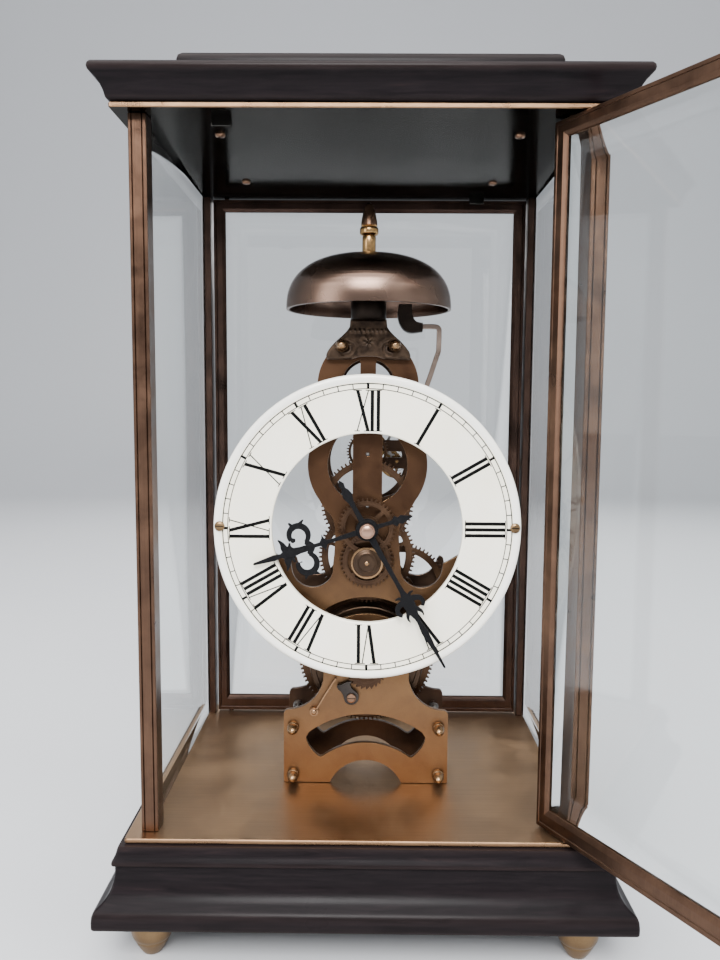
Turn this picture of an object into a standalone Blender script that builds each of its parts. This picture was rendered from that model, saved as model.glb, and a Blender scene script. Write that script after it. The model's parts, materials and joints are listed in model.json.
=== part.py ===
"""Four-glass skeleton clock with a bell, built as separate pieces.

Millimetres are used throughout and turned into metres when a mesh is made.
X runs to the viewer's right, Y from the front to the back, Z up.
The origin is the centre of the wooden base's underside; the feet reach below it.
The front door is modelled open and the hands stand at twenty-five past eight.
"""

import math

import bmesh
import bpy
from mathutils import Vector

MM = 0.001
TAU = 2.0 * math.pi

# ---------------------------------------------------------------- case
GAP = 0.3
HALF_W = 96.0
HALF_D = 72.0
BASE_H = 32.0
PLATE_T = 2.0
PLATE_OVER = 6.0
FLOOR_Z = BASE_H + PLATE_T
INNER_H = 298.0
CEIL_Z = FLOOR_Z + INNER_H
CORNICE_Z = CEIL_Z + PLATE_T
BASE_PROFILE = [(17.0, 0.0), (17.4, 1.6), (17.4, 3.4), (16.2, 5.2), (14.4, 7.2), (12.0, 11.5),
                (10.4, 16.0), (9.9, 19.3), (9.9, 25.0), (10.4, 26.2), (9.8, 29.0), (8.0, BASE_H - GAP)]
CORNICE_PROFILE = [(5.3, CORNICE_Z + GAP), (7.2, CORNICE_Z + 1.4), (7.9, CORNICE_Z + 3.2),
                   (9.6, CORNICE_Z + 6.6), (12.1, CORNICE_Z + 9.6), (12.3, CORNICE_Z + 11.4),
                   (10.7, CORNICE_Z + 13.5)]
PANEL_HALF = (79.5, 60.0)
PANEL_H = 12.7
PANEL_BEVEL = 1.6
FOOT_X = 93.0
FOOT_Y = 69.0
FOOT_PROFILE = [(0.0, -0.3), (7.0, -0.3), (7.4, -3.0), (9.0, -4.6), (9.3, -8.5), (9.1, -12.5),
                (8.3, -14.2), (6.6, -18.0), (4.4, -21.0), (3.8, -21.5), (0.0, -21.5)]
POST_W = 7.2
POST_D = 9.0
GLASS_T = 2.4
GROOVE = (0.7, 3.7, 4.2)
GLASS_OUT = 1.0
GLASS_BEVEL = 9.0

# ---------------------------------------------------------------- doors
DOOR_T = 5.0
DOOR_SET_BACK = 0.5
DOOR_HINGE_X = 80.5
DOOR_PAST_HINGE = 7.3
DOOR_FREE_X = -88.2
DOOR_Z = (FLOOR_Z + 1.0, CEIL_Z - 0.8)
STILE = 6.8
RAIL_LOW = 9.0
RAIL_TOP = 6.8
DOOR_GLASS_T = 2.2
DOOR_OPEN = math.radians(119.5)
PIN_R = 1.3
PIN_HOLE_R = 1.7
KNOB_Z = 183.0

# ---------------------------------------------------------------- movement plates
FRONT_Y = (-24.6, -22.0)
REAR_Y = (4.7, 7.3)
FOOT_HALF = 39.6
PLATE_LOW = FLOOR_Z + GAP
DOME_Z = 226.0
DOME_R = 23.5
RING_Z = 189.0
RING_R = 28.0
RING_INNER = 18.7
STRUT_HALF = 6.9
PILLARS = [(35.0, 62.4), (35.0, 38.8)]
BOLTS = (12.1, 244.0)
ARM_PAD = (67.9, 161.2)

# ---------------------------------------------------------------- train
MODULE = 0.7
FINE = 0.5
GREAT = (0.0, 91.3)
CENTRE = (0.0, 143.7)
HANDS = (0.0, 160.2)
GREAT_TEETH = 96
INTER_TEETH = (12, 64)
CENTRE_TEETH = (10, 66)
THIRD_TEETH = (8, 62)
FOURTH_TEETH = (8, 40)
ESCAPE_TEETH = 15
ESCAPE_LEAVES = 8
ESCAPE_R = 11.0
PALLET_REACH = 13.2
BALANCE_REACH = 23.0
BALANCE_R = 9.0
ESCAPE_LINE = math.radians(-50.0)
MOTION_TEETH = (12, 36, 10, 40)
RATCHET_TEETH = 24
RATCHET_R = 9.7
CLICK = (-7.0, 77.6)
BARREL_R = 27.8
MINUTE_ANGLE = math.radians(150.3)
HOUR_ANGLE = math.radians(252.5)

# ---------------------------------------------------------------- dial and bell
DIAL_R = 70.9
DIAL_INNER = 44.0
DIAL_Y = (-34.0, -31.5)
BELL_Y = -16.0
BELL_RIM_Z = 261.2
BELL_TOP_Z = 286.9
BELL_R = 38.6
BELL_T = 1.6
BELL_ROUND = 0.80
FINIAL_SHAFT = 8.9
COLUMN_R = 8.3
HAMMER = (17.0, 214.0)

COLOURS = {
    "black_wood": ((0.018, 0.015, 0.016), 0.0, 0.32),
    "bronze": ((0.33, 0.19, 0.11), 1.0, 0.34),
    "dark_bronze": ((0.17, 0.10, 0.065), 1.0, 0.38),
    "plate_bronze": ((0.40, 0.27, 0.16), 1.0, 0.30),
    "movement_brass": ((0.36, 0.24, 0.13), 1.0, 0.42),
    "brass": ((0.62, 0.44, 0.20), 1.0, 0.25),
    "bell_bronze": ((0.20, 0.13, 0.095), 1.0, 0.24),
    "enamel": ((0.90, 0.88, 0.80), 0.0, 0.22),
    "hand_black": ((0.012, 0.012, 0.014), 0.2, 0.45),
    "steel": ((0.52, 0.52, 0.53), 1.0, 0.28),
    "glass": ((0.86, 0.92, 0.90), 0.0, 0.03),
}


# ---------------------------------------------------------------- helpers
def clear_scene():
    for obj in list(bpy.data.objects):
        bpy.data.objects.remove(obj, do_unlink=True)


def material(name):
    """The Principled material of one finish, made once."""
    found = bpy.data.materials.get(name)
    if found:
        return found
    colour, metallic, roughness = COLOURS[name]
    mat = bpy.data.materials.new(name)
    mat.use_nodes = True
    shader = mat.node_tree.nodes["Principled BSDF"]
    shader.inputs["Base Color"].default_value = (*colour, 1.0)
    shader.inputs["Metallic"].default_value = metallic
    shader.inputs["Roughness"].default_value = roughness
    if name == "glass":
        shader.inputs["Alpha"].default_value = 0.3
    return mat


def place(name, bm, finish, pivot=(0.0, 0.0, 0.0), turn=0.0, mesh_at_pivot=False):
    """Turn a bmesh in millimetres into a named object whose origin is the pivot."""
    bmesh.ops.recalc_face_normals(bm, faces=bm.faces)
    if bm.calc_volume(signed=True) < 0.0:
        bmesh.ops.reverse_faces(bm, faces=bm.faces)
    if not mesh_at_pivot:
        bmesh.ops.translate(bm, verts=bm.verts, vec=-Vector(pivot))
    bmesh.ops.scale(bm, verts=bm.verts, vec=(MM, MM, MM))
    mesh = bpy.data.meshes.new(name)
    bm.to_mesh(mesh)
    bm.free()
    mesh.shade_smooth()
    mesh.set_sharp_from_angle(angle=math.radians(35.0))
    mesh.materials.append(material(finish))
    obj = bpy.data.objects.new(name, mesh)
    obj.location = Vector(pivot) * MM
    obj.rotation_euler = (0.0, 0.0, turn)
    bpy.context.scene.collection.objects.link(obj)
    return obj


def combine(target, others, operation):
    """Join or cut a finished object with bmeshes given in world millimetres."""
    for index, bm in enumerate(others):
        tool = place(f"{target.name}_tool{index}", bm, "steel")
        modifier = target.modifiers.new("tool", "BOOLEAN")
        modifier.solver = "EXACT"
        modifier.operation = operation
        modifier.object = tool
        bpy.context.view_layer.update()
        graph = bpy.context.evaluated_depsgraph_get()
        mesh = bpy.data.meshes.new_from_object(target.evaluated_get(graph))
        target.modifiers.clear()
        target.data = mesh
        bpy.data.objects.remove(tool, do_unlink=True)
    mesh = target.data
    finish = mesh.materials[0]
    mesh.materials.clear()
    mesh.materials.append(finish)
    mesh.shade_smooth()
    mesh.set_sharp_from_angle(angle=math.radians(35.0))
    return target


def join(target, *others):
    return combine(target, others, "UNION")


def cut(target, *others):
    return combine(target, others, "DIFFERENCE")


def arc(cx, cz, radius, start, end, steps):
    """Points on an arc, angles in degrees, both ends included."""
    points = []
    for i in range(steps + 1):
        angle = math.radians(start + (end - start) * i / steps)
        points.append((cx + radius * math.cos(angle), cz + radius * math.sin(angle)))
    return points


def circle(cx, cz, radius, steps=20):
    return arc(cx, cz, radius, 0.0, 360.0 * (steps - 1) / steps, steps - 1)


def prism(outline, low, high, holes=(), axis="Y"):
    """A plate: an outline with holes, extruded along Y (points are X, Z) or along Z (X, Y)."""
    bm = bmesh.new()
    for loop in (outline, *holes):
        verts = [bm.verts.new((a, low, b) if axis == "Y" else (a, b, low)) for a, b in loop]
        for i, vert in enumerate(verts):
            bm.edges.new((vert, verts[(i + 1) % len(verts)]))
    bmesh.ops.triangle_fill(bm, edges=bm.edges[:], use_beauty=True, use_dissolve=False)
    lift = (0.0, high - low, 0.0) if axis == "Y" else (0.0, 0.0, high - low)
    made = bmesh.ops.extrude_face_region(bm, geom=bm.faces[:])
    verts = [item for item in made["geom"] if isinstance(item, bmesh.types.BMVert)]
    bmesh.ops.translate(bm, verts=verts, vec=lift)
    return bm


def box(x0, x1, y0, y1, z0, z1):
    return prism([(x0, y0), (x1, y0), (x1, y1), (x0, y1)], z0, z1, axis="Z")


def turned(profile, centre, axis="Z", steps=16, closed=False):
    """Revolve (radius, height) points about an axis through centre; closed makes a ring."""
    bm = bmesh.new()
    rings = []
    for radius, height in profile:
        ring = []
        count = steps if radius > 0.0 else 1
        for i in range(count):
            angle = TAU * i / steps
            side = (radius * math.cos(angle), radius * math.sin(angle))
            if axis == "Z":
                ring.append(bm.verts.new((centre[0] + side[0], centre[1] + side[1], height)))
            else:
                ring.append(bm.verts.new((centre[0] + side[0], height, centre[1] + side[1])))
        rings.append(ring)
    pairs = list(zip(rings, rings[1:]))
    if closed:
        pairs.append((rings[-1], rings[0]))
    for one, two in pairs:
        for i in range(steps):
            quad = [one[i % len(one)], one[(i + 1) % len(one)],
                    two[(i + 1) % len(two)], two[i % len(two)]]
            corners = list(dict.fromkeys(quad))
            if len(corners) > 2:
                bm.faces.new(corners)
    return bm


def rod(centre, radius, low, high, axis="Y", steps=10):
    return turned([(0.0, low), (radius, low), (radius, high), (0.0, high)], centre, axis, steps)


def rectangle_rings(rings, axis, closed=False):
    """Loft rectangles: each ring is (low_a, high_a, low_b, high_b, height along the axis)."""
    bm = bmesh.new()
    loops = []
    for a0, a1, b0, b1, height in rings:
        corners = [(a0, b0), (a1, b0), (a1, b1), (a0, b1)]
        order = {"Z": lambda a, b, h: (a, b, h), "Y": lambda a, b, h: (a, h, b),
                 "X": lambda a, b, h: (h, a, b)}[axis]
        loops.append([bm.verts.new(order(a, b, height)) for a, b in corners])
    pairs = list(zip(loops, loops[1:]))
    if closed:
        pairs.append((loops[-1], loops[0]))
    else:
        bm.faces.new(loops[0])
        bm.faces.new(loops[-1])
    for one, two in pairs:
        for i in range(4):
            bm.faces.new((one[i], one[(i + 1) % 4], two[(i + 1) % 4], two[i]))
    return bm


def mirrored(half):
    """A closed outline from its right half, which starts and ends on the centre line."""
    left = [(-x, z) for x, z in reversed(half) if abs(x) > 1e-6]
    return list(half) + left


# ---------------------------------------------------------------- gears
def gear_outline(centre, teeth, module, phase, addendum=0.85, dedendum=1.3):
    """A pointed-tooth outline with one tooth centred on the phase angle."""
    pitch_r = teeth * module / 2.0
    tip, root = pitch_r + addendum * module, pitch_r - dedendum * module
    pitch = TAU / teeth
    points = []
    for i in range(teeth):
        middle = phase + i * pitch
        for radius, offset in ((tip, 0.0), (root, 0.5)):
            angle = middle + offset * pitch
            points.append((centre[0] + radius * math.cos(angle),
                           centre[1] + radius * math.sin(angle)))
    return points


def crossings(centre, count, inner, outer, spoke, turn=0.0, steps=4):
    """The windows between the spokes of a wheel."""
    holes = []
    for i in range(count):
        start, end = turn + i * 360.0 / count, turn + (i + 1) * 360.0 / count
        trim_out = math.degrees(spoke / 2.0 / outer)
        trim_in = math.degrees(spoke / 2.0 / inner)
        loop = arc(*centre, outer, start + trim_out, end - trim_out, steps)
        loop += arc(*centre, inner, end - trim_in, start + trim_in, max(2, steps - 3))
        holes.append(loop)
    return holes


def toward(one, two):
    return math.atan2(two[1] - one[1], two[0] - one[0])


def meshing_phase(teeth, own, other):
    """The phase that puts a gap of this gear on the line to the other gear's tooth."""
    return toward(own, other) + math.pi / teeth


def pitch_radius(teeth, module=MODULE):
    return teeth * module / 2.0


def inter_centre():
    """The intermediate arbor, in mesh with the great wheel and with the centre pinion."""
    reach_low = pitch_radius(GREAT_TEETH) + pitch_radius(INTER_TEETH[0])
    reach_up = pitch_radius(INTER_TEETH[1]) + pitch_radius(CENTRE_TEETH[0])
    span = CENTRE[1] - GREAT[1]
    rise = (reach_low ** 2 - reach_up ** 2 + span ** 2) / (2.0 * span)
    return (math.sqrt(reach_low ** 2 - rise ** 2), GREAT[1] + rise)


INTER = inter_centre()
THIRD = (0.0, CENTRE[1] + pitch_radius(CENTRE_TEETH[1]) + pitch_radius(THIRD_TEETH[0]))
FOURTH = (0.0, THIRD[1] + pitch_radius(THIRD_TEETH[1]) + pitch_radius(FOURTH_TEETH[0]))
ESCAPE = (0.0, FOURTH[1] + pitch_radius(FOURTH_TEETH[1], FINE) + pitch_radius(ESCAPE_LEAVES, FINE))
PALLET = (ESCAPE[0] + PALLET_REACH * math.cos(ESCAPE_LINE),
          ESCAPE[1] + PALLET_REACH * math.sin(ESCAPE_LINE))
BALANCE = (ESCAPE[0] + BALANCE_REACH * math.cos(ESCAPE_LINE),
           ESCAPE[1] + BALANCE_REACH * math.sin(ESCAPE_LINE))
MOTION_REACH = HANDS[1] - CENTRE[1]
MOTION_MODULE = 2.0 * MOTION_REACH / (MOTION_TEETH[0] + MOTION_TEETH[1])
HOUR_MODULE = 2.0 * MOTION_REACH / (MOTION_TEETH[2] + MOTION_TEETH[3])


# ---------------------------------------------------------------- case
def wooden_parts():
    rings = [(-HALF_W - o, HALF_W + o, -HALF_D - o, HALF_D + o, z) for o, z in BASE_PROFILE]
    place("base", rectangle_rings(rings, "Z"), "black_wood")
    rings = [(-HALF_W - o, HALF_W + o, -HALF_D - o, HALF_D + o, z) for o, z in CORNICE_PROFILE]
    top = CORNICE_PROFILE[-1][1]
    px, py = PANEL_HALF
    for inset, height in ((0.0, 0.0), (0.0, PANEL_H - PANEL_BEVEL), (PANEL_BEVEL, PANEL_H)):
        rings.append((-px + inset, px - inset, -py + inset, py - inset, top + height))
    place("cornice", rectangle_rings(rings, "Z"), "black_wood")


def feet():
    for y_name, sy in (("front", -1), ("rear", 1)):
        for x_name, sx in (("left", -1), ("right", 1)):
            shape = turned(FOOT_PROFILE, (sx * FOOT_X, sy * FOOT_Y))
            place(f"foot_{y_name}_{x_name}", shape, "brass")


def hinge_points():
    """The door pivots in plan: the front door's, then the rear door's."""
    y = HALF_D - DOOR_SET_BACK - DOOR_T / 2.0
    return (DOOR_HINGE_X, -y), (-DOOR_HINGE_X, y)


def plates():
    side = HALF_W + PLATE_OVER
    deep = HALF_D + PLATE_OVER
    for name, low in (("floor_plate", BASE_H), ("ceiling_plate", CEIL_Z)):
        plate = place(name, box(-side, side, -deep, deep, low, low + PLATE_T), "plate_bronze")
        for point in hinge_points():
            cut(plate, rod(point, PIN_HOLE_R, low - 1.0, low + PLATE_T + 1.0, "Z"))
        if name == "ceiling_plate":
            inner = HALF_D - DOOR_SET_BACK - DOOR_T - GAP
            for sign in (-1, 1):
                near, far = sorted((sign * inner, sign * (inner - 3.0)))
                stop = box(sign * 60.0 - 4.0, sign * 60.0 + 4.0, near, far, low - 3.4, low + 1.0)
                join(plate, stop)


def posts():
    lip, groove_x, groove_y = GROOVE
    for y_name, sy in (("front", -1), ("rear", 1)):
        for x_name, sx in (("left", -1), ("right", 1)):
            local = [(0.0, 0.0), (POST_W, 0.0), (POST_W, POST_D), (groove_x, POST_D),
                     (groove_x, POST_D - groove_y), (lip, POST_D - groove_y), (lip, POST_D),
                     (0.0, POST_D)]
            outline = [(sx * (HALF_W - a), sy * (HALF_D - b)) for a, b in local]
            shape = prism(outline, FLOOR_Z + GAP, CEIL_Z - GAP, axis="Z")
            place(f"post_{y_name}_{x_name}", shape, "bronze")


def bevelled_pane(a0, a1, b0, b1, low, high, bevel, axis):
    """A pane whose border slopes away on its outer side, from high towards low."""
    middle = low + (high - low) * 0.5
    rings = [(a0, a1, b0, b1, low), (a0, a1, b0, b1, middle),
             (a0 + bevel, a1 - bevel, b0 + bevel, b1 - bevel, high)]
    return rectangle_rings(rings, axis)


def side_glasses():
    reach = HALF_D - POST_D + GROOVE[2] - GAP
    for name, sx in (("side_glass_left", -1), ("side_glass_right", 1)):
        outer, inner = sx * (HALF_W - GLASS_OUT), sx * (HALF_W - GLASS_OUT - GLASS_T)
        shape = bevelled_pane(-reach, reach, FLOOR_Z + GAP, CEIL_Z - GAP, inner, outer,
                              GLASS_BEVEL, "X")
        place(name, shape, "glass")


def door(prefix, pivot, turn):
    """A framed glass door, built closed around its hinge axis and then turned about it."""
    free = DOOR_FREE_X - DOOR_HINGE_X
    outer = (free, DOOR_PAST_HINGE, *DOOR_Z)
    opening = (free + STILE, DOOR_PAST_HINGE - STILE, DOOR_Z[0] + RAIL_LOW, DOOR_Z[1] - RAIL_TOP)

    def rect(share, y):
        return (*[o + (i - o) * share for o, i in zip(outer, opening)], y)

    half, glass, deep = DOOR_T / 2.0, DOOR_GLASS_T / 2.0, 0.55
    slot = glass + GAP / 2.0
    section = [(0.0, -half), (1.0, -half), (1.0, -slot), (deep, -slot), (deep, slot),
               (1.0, slot), (1.0, half), (0.0, half)]
    where = (*pivot, 0.0)
    rings = [rect(share, y) for share, y in section]
    frame = place(f"{prefix}_frame", rectangle_rings(rings, "Y", closed=True), "bronze")
    join(frame, rod((0.0, 0.0), PIN_R, DOOR_Z[0] - 2.4, DOOR_Z[0] + 2.0, "Z"),
         rod((0.0, 0.0), PIN_R, DOOR_Z[1] - 2.0, DOOR_Z[1] + 2.2, "Z"))
    frame.location = Vector(where) * MM
    frame.rotation_euler = (0.0, 0.0, turn)
    a0, a1, b0, b1, _ = rect(deep + 0.05, 0.0)
    pane = bevelled_pane(a0, a1, b0, b1, glass, -glass, STILE + 9.0, "Y")
    place(f"{prefix}_glass", pane, "glass", where, turn, mesh_at_pivot=True)
    knob_x = free + STILE / 2.0
    front = -half - GAP
    profile = [(0.0, front), (2.6, front), (2.6, front - 0.8), (1.5, front - 1.6),
               (1.5, front - 3.4), (3.4, front - 4.8), (3.9, front - 6.6), (3.2, front - 8.2),
               (1.4, front - 9.0), (0.0, front - 9.0)]
    knob = turned(profile, (knob_x, KNOB_Z), "Y", 12)
    place(f"{prefix}_knob", knob, "brass", where, turn, mesh_at_pivot=True)


def doors():
    front, rear = hinge_points()
    door("front_door", front, DOOR_OPEN)
    door("rear_door", rear, math.pi)


# ---------------------------------------------------------------- movement plates
def plate_outline(arms):
    """The movement plate's edge: dome, ring, waist, notches and splayed foot."""
    half = arc(0.0, DOME_Z, DOME_R, 90.0, 5.0, 7)
    half += [(24.0, 214.0)]
    half += arc(0.0, RING_Z, RING_R, 32.0, -36.0, 7)
    half += [(20.6, 168.8), (17.2, 165.4), (15.3, 160.0), (15.2, 151.0), (16.0, 142.0)]
    half += arc(25.8, 140.5, 10.0, 195.0, 350.0, 8)
    if arms:
        half += [(36.2, 142.6), (38.6, 143.6), (46.0, 148.2), (57.0, 155.0)]
        half += arc(*ARM_PAD, 4.6, 150.0, -60.0, 5)
        half += [(58.0, 147.5), (48.0, 139.0), (39.5, 129.0)]
    else:
        half += [(37.0, 140.6), (38.8, 139.6), (39.2, 136.0), (37.6, 130.0)]
    half += [(32.0, 120.0), (25.5, 110.0), (21.6, 99.0)]
    half += arc(38.0, 88.0, 17.6, 180.0, 268.0, 6)
    half += arc(FOOT_HALF - 2.2, 68.2, 2.2, 80.0, 0.0, 3)
    half += [(FOOT_HALF, PLATE_LOW)]
    half += arc(0.0, 26.7, 18.9, 23.8, 90.0, 6)
    half[-1] = (0.0, half[-1][1])
    half[0] = (0.0, half[0][1])
    return mirrored(half)


def kidney_window():
    upper = arc(0.0, 23.0, 45.6, 53.0, 127.0, 10)
    lower = arc(0.0, 20.1, 34.2, 127.0, 53.0, 8)
    left = [(-28.9, 56.8), (-27.2, 52.6), (-23.6, 47.9), (-22.0, 46.9)]
    right = [(-x, z) for x, z in reversed(left)]
    return upper + left + lower + right


def barrel_window():
    return arc(*GREAT, 34.8, 55.0, 125.0, 10) + arc(*GREAT, 26.6, 125.0, 55.0, 8)


def ring_window(sign, top=68.4, bottom=-68.4):
    points = arc(0.0, RING_Z, RING_INNER, bottom, top, 8)
    return [(sign * x, z) for x, z in points]


def dome_window(sign):
    points = arc(0.0, 226.0, 12.4, -18.0, 73.0, 5) + [(3.6, 222.2)]
    return [(sign * x, z) for x, z in points]


def rear_ring_windows():
    """The rear plate's ring: open on the left, and barred by the escapement's seat on the right."""
    seat_low, seat_high = BALANCE[1] - 3.4, PALLET[1] + 3.4
    low = math.degrees(math.asin((seat_low - RING_Z) / RING_INNER))
    high = math.degrees(math.asin((seat_high - RING_Z) / RING_INNER))
    lower = arc(0.0, RING_Z, RING_INNER, -68.4, low, 4) + [(STRUT_HALF, seat_low)]
    upper = arc(0.0, RING_Z, RING_INNER, high, 68.4, 4) + [(STRUT_HALF, seat_high)]
    return [ring_window(-1), lower, upper]


def pivot_holes(points):
    return [circle(*centre, radius, 8) for centre, radius in points]


def movement_plates():
    rods = [((sx * x, z), 1.5) for x, z in PILLARS for sx in (-1, 1)]
    rods += [((sx * BOLTS[0], BOLTS[1]), 1.5) for sx in (-1, 1)]
    holes = [kidney_window(), barrel_window(), ring_window(1), ring_window(-1)]
    holes += [dome_window(1), dome_window(-1)]
    holes += pivot_holes(rods)
    holes += pivot_holes([(GREAT, 3.3), (INTER, 1.0), (CENTRE, 2.3), (THIRD, 1.0), (FOURTH, 1.0),
                          (ESCAPE, 1.0), (HAMMER, 1.3)])
    holes += pivot_holes([((sx * ARM_PAD[0], ARM_PAD[1]), 1.3) for sx in (-1, 1)])
    holes += pivot_holes([(CLICK, 1.5)])
    front = place("front_plate", prism(plate_outline(True), *FRONT_Y, holes), "movement_brass")
    join(front, rod(HANDS, 1.1, -39.6, FRONT_Y[1] - 0.6))
    holes = [kidney_window(), barrel_window(), *rear_ring_windows()]
    holes += [dome_window(1), dome_window(-1)]
    holes += pivot_holes(rods)
    holes += pivot_holes([(GREAT, 3.3), (INTER, 1.0), (CENTRE, 1.0), (THIRD, 1.0), (FOURTH, 1.0),
                          (ESCAPE, 1.3), (PALLET, 0.9), (BALANCE, 0.9), (HAMMER, 1.3)])
    place("rear_plate", prism(plate_outline(False), *REAR_Y, holes), "dark_bronze")


def nut_profile(seat):
    """An acorn nut that points to the front, from its seat plane."""
    return [(0.0, seat), (2.7, seat), (2.9, seat - 0.5), (2.9, seat - 2.4), (2.5, seat - 3.0),
            (2.3, seat - 4.6), (1.6, seat - 6.6), (0.8, seat - 7.4), (0.0, seat - 7.7)]


def pillars():
    between = (FRONT_Y[1] + GAP, REAR_Y[0] - GAP)
    for level, (x, z) in zip(("upper", "lower"), PILLARS):
        for side, sx in (("left", -1), ("right", 1)):
            spot = (sx * x, z)
            profile = [(0.0, FRONT_Y[0] + 0.4), (1.2, FRONT_Y[0] + 0.4), (1.2, between[0]),
                       (2.4, between[0]), (2.4, between[0] + 3.0), (1.9, between[0] + 4.4),
                       (1.9, between[1] - 4.4), (2.4, between[1] - 3.0), (2.4, between[1]),
                       (1.2, between[1]), (1.2, REAR_Y[1] + 1.6), (0.0, REAR_Y[1] + 1.6)]
            place(f"pillar_{level}_{side}", turned(profile, spot, "Y", 8), "steel")
            nut = turned(nut_profile(FRONT_Y[0] - GAP), spot, "Y", 10)
            place(f"nut_{level}_{side}", nut, "brass")


def bracket_bolts():
    """Two long acorn-headed bolts hold the bell bracket and both plates together."""
    seat = FRONT_Y[0] - 4.2
    between = (FRONT_Y[1] + GAP, REAR_Y[0] - GAP)
    for side, sx in (("left", -1), ("right", 1)):
        profile = [(1.2, seat), *nut_profile(seat)[1:]]
        profile = [(0.0, REAR_Y[1] + 1.6), (1.2, REAR_Y[1] + 1.6), (1.2, between[1]),
                   (2.2, between[1]), (2.2, between[0]), (1.2, between[0]), *profile]
        shape = turned(profile, (sx * BOLTS[0], BOLTS[1]), "Y", 10)
        place(f"bracket_bolt_{side}", shape, "brass")


# ---------------------------------------------------------------- bell
def bell_parts():
    face = [(-19.0, 237.8), (-7.0, 237.8), (-6.0, 239.4), (6.0, 239.4), (7.0, 237.8),
            (19.0, 237.8), (18.6, 242.0), (15.2, 246.6), (10.6, 250.0), (COLUMN_R, 253.0),
            (COLUMN_R, 256.0), (-COLUMN_R, 256.0), (-COLUMN_R, 253.0), (-10.6, 250.0),
            (-15.2, 246.6), (-18.6, 242.0)]
    slab = (FRONT_Y[0] - 3.9, FRONT_Y[0] - GAP)
    holes = pivot_holes([((sx * BOLTS[0], BOLTS[1]), 1.5) for sx in (-1, 1)])
    bracket = place("bell_bracket", prism(face, *slab, holes), "dark_bronze")
    bridge = box(-COLUMN_R + 0.1, COLUMN_R - 0.1, slab[0] + 0.2, BELL_Y, 250.4, 255.8)
    low = 250.6
    column = turned([(0.0, low), (COLUMN_R, low), (COLUMN_R, 266.0), (6.0, 270.0), (5.2, 284.0),
                     (5.2, BELL_TOP_Z - BELL_T - GAP), (1.6, BELL_TOP_Z - BELL_T - GAP),
                     (1.6, BELL_TOP_Z + 4.0), (0.0, BELL_TOP_Z + 4.0)], (0.0, BELL_Y))
    join(bracket, bridge, column)
    place("bell", turned(bell_section(), (0.0, BELL_Y), "Z", 24, closed=True), "bell_bronze")
    foot = BELL_TOP_Z + GAP
    collar = foot + FINIAL_SHAFT
    profile = [(2.0, foot), (3.2, foot), (3.2, collar), (4.4, collar + 0.4), (4.4, collar + 3.0),
               (3.9, collar + 3.4), (3.7, collar + 6.0), (2.5, collar + 11.6),
               (1.5, collar + 13.8), (0.0, collar + 14.4), (0.0, foot + 5.0), (2.0, foot + 5.0)]
    place("bell_finial", turned(profile, (0.0, BELL_Y), "Z", 12, closed=True), "brass")


def bell_section():
    """The bell's closed half section: steep sides that round over into a flat crown."""
    angles = [math.radians(x) for x in (0, 6, 16, 28, 42, 56, 70, 82)]
    shape = [(math.cos(a) ** BELL_ROUND, math.sin(a) ** BELL_ROUND) for a in angles]
    height = BELL_TOP_Z - BELL_RIM_Z
    outer = [(BELL_R * c, BELL_RIM_Z + height * s) for c, s in shape]
    inner = [((BELL_R - BELL_T) * c, BELL_RIM_Z + (height - BELL_T) * s)
             for c, s in reversed(shape)]
    return outer + [(2.4, BELL_TOP_Z), (2.4, BELL_TOP_Z - BELL_T)] + inner


def hammer():
    """The hammer on its arbor: a bent strip that carries a curved head inside the bell."""
    path = [(17.0, 214.0), (24.5, 218.5), (28.4, 228.0), (33.1, 242.4), (33.1, 253.4),
            (24.0, 253.8)]
    strip = ribbon(path, 1.5)
    y0, y1 = BELL_Y - 1.4, BELL_Y + 1.4
    piece = place("hammer", prism(strip, y0, y1), "bronze", (HAMMER[0], 0.0, HAMMER[1]))
    head = [(14.2, 264.0), (14.0, 256.5), (16.4, 252.0), (20.0, 250.6), (25.4, 251.4),
            (25.4, 255.4), (21.6, 256.0), (20.4, 259.0), (20.2, 264.0)]
    arbor = turned([(0.0, FRONT_Y[0] + 0.6), (1.0, FRONT_Y[0] + 0.6), (1.0, FRONT_Y[1] + 0.4),
                    (2.2, FRONT_Y[1] + 0.4), (2.2, REAR_Y[0] - 0.4), (1.0, REAR_Y[0] - 0.4),
                    (1.0, REAR_Y[1] - 0.6), (0.0, REAR_Y[1] - 0.6)], HAMMER, "Y", 12)
    head_y = BELL_Y - 3.4, BELL_Y + 3.4
    join(piece, prism(head, *head_y), arbor)


def ribbon(path, half):
    """An outline of even width along a path."""
    left, right = [], []
    for i, (x, z) in enumerate(path):
        before = path[max(i - 1, 0)]
        after = path[min(i + 1, len(path) - 1)]
        along = Vector((after[0] - before[0], after[1] - before[1])).normalized()
        left.append((x - along.y * half, z + along.x * half))
        right.append((x + along.y * half, z - along.x * half))
    return left + right[::-1]


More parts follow.
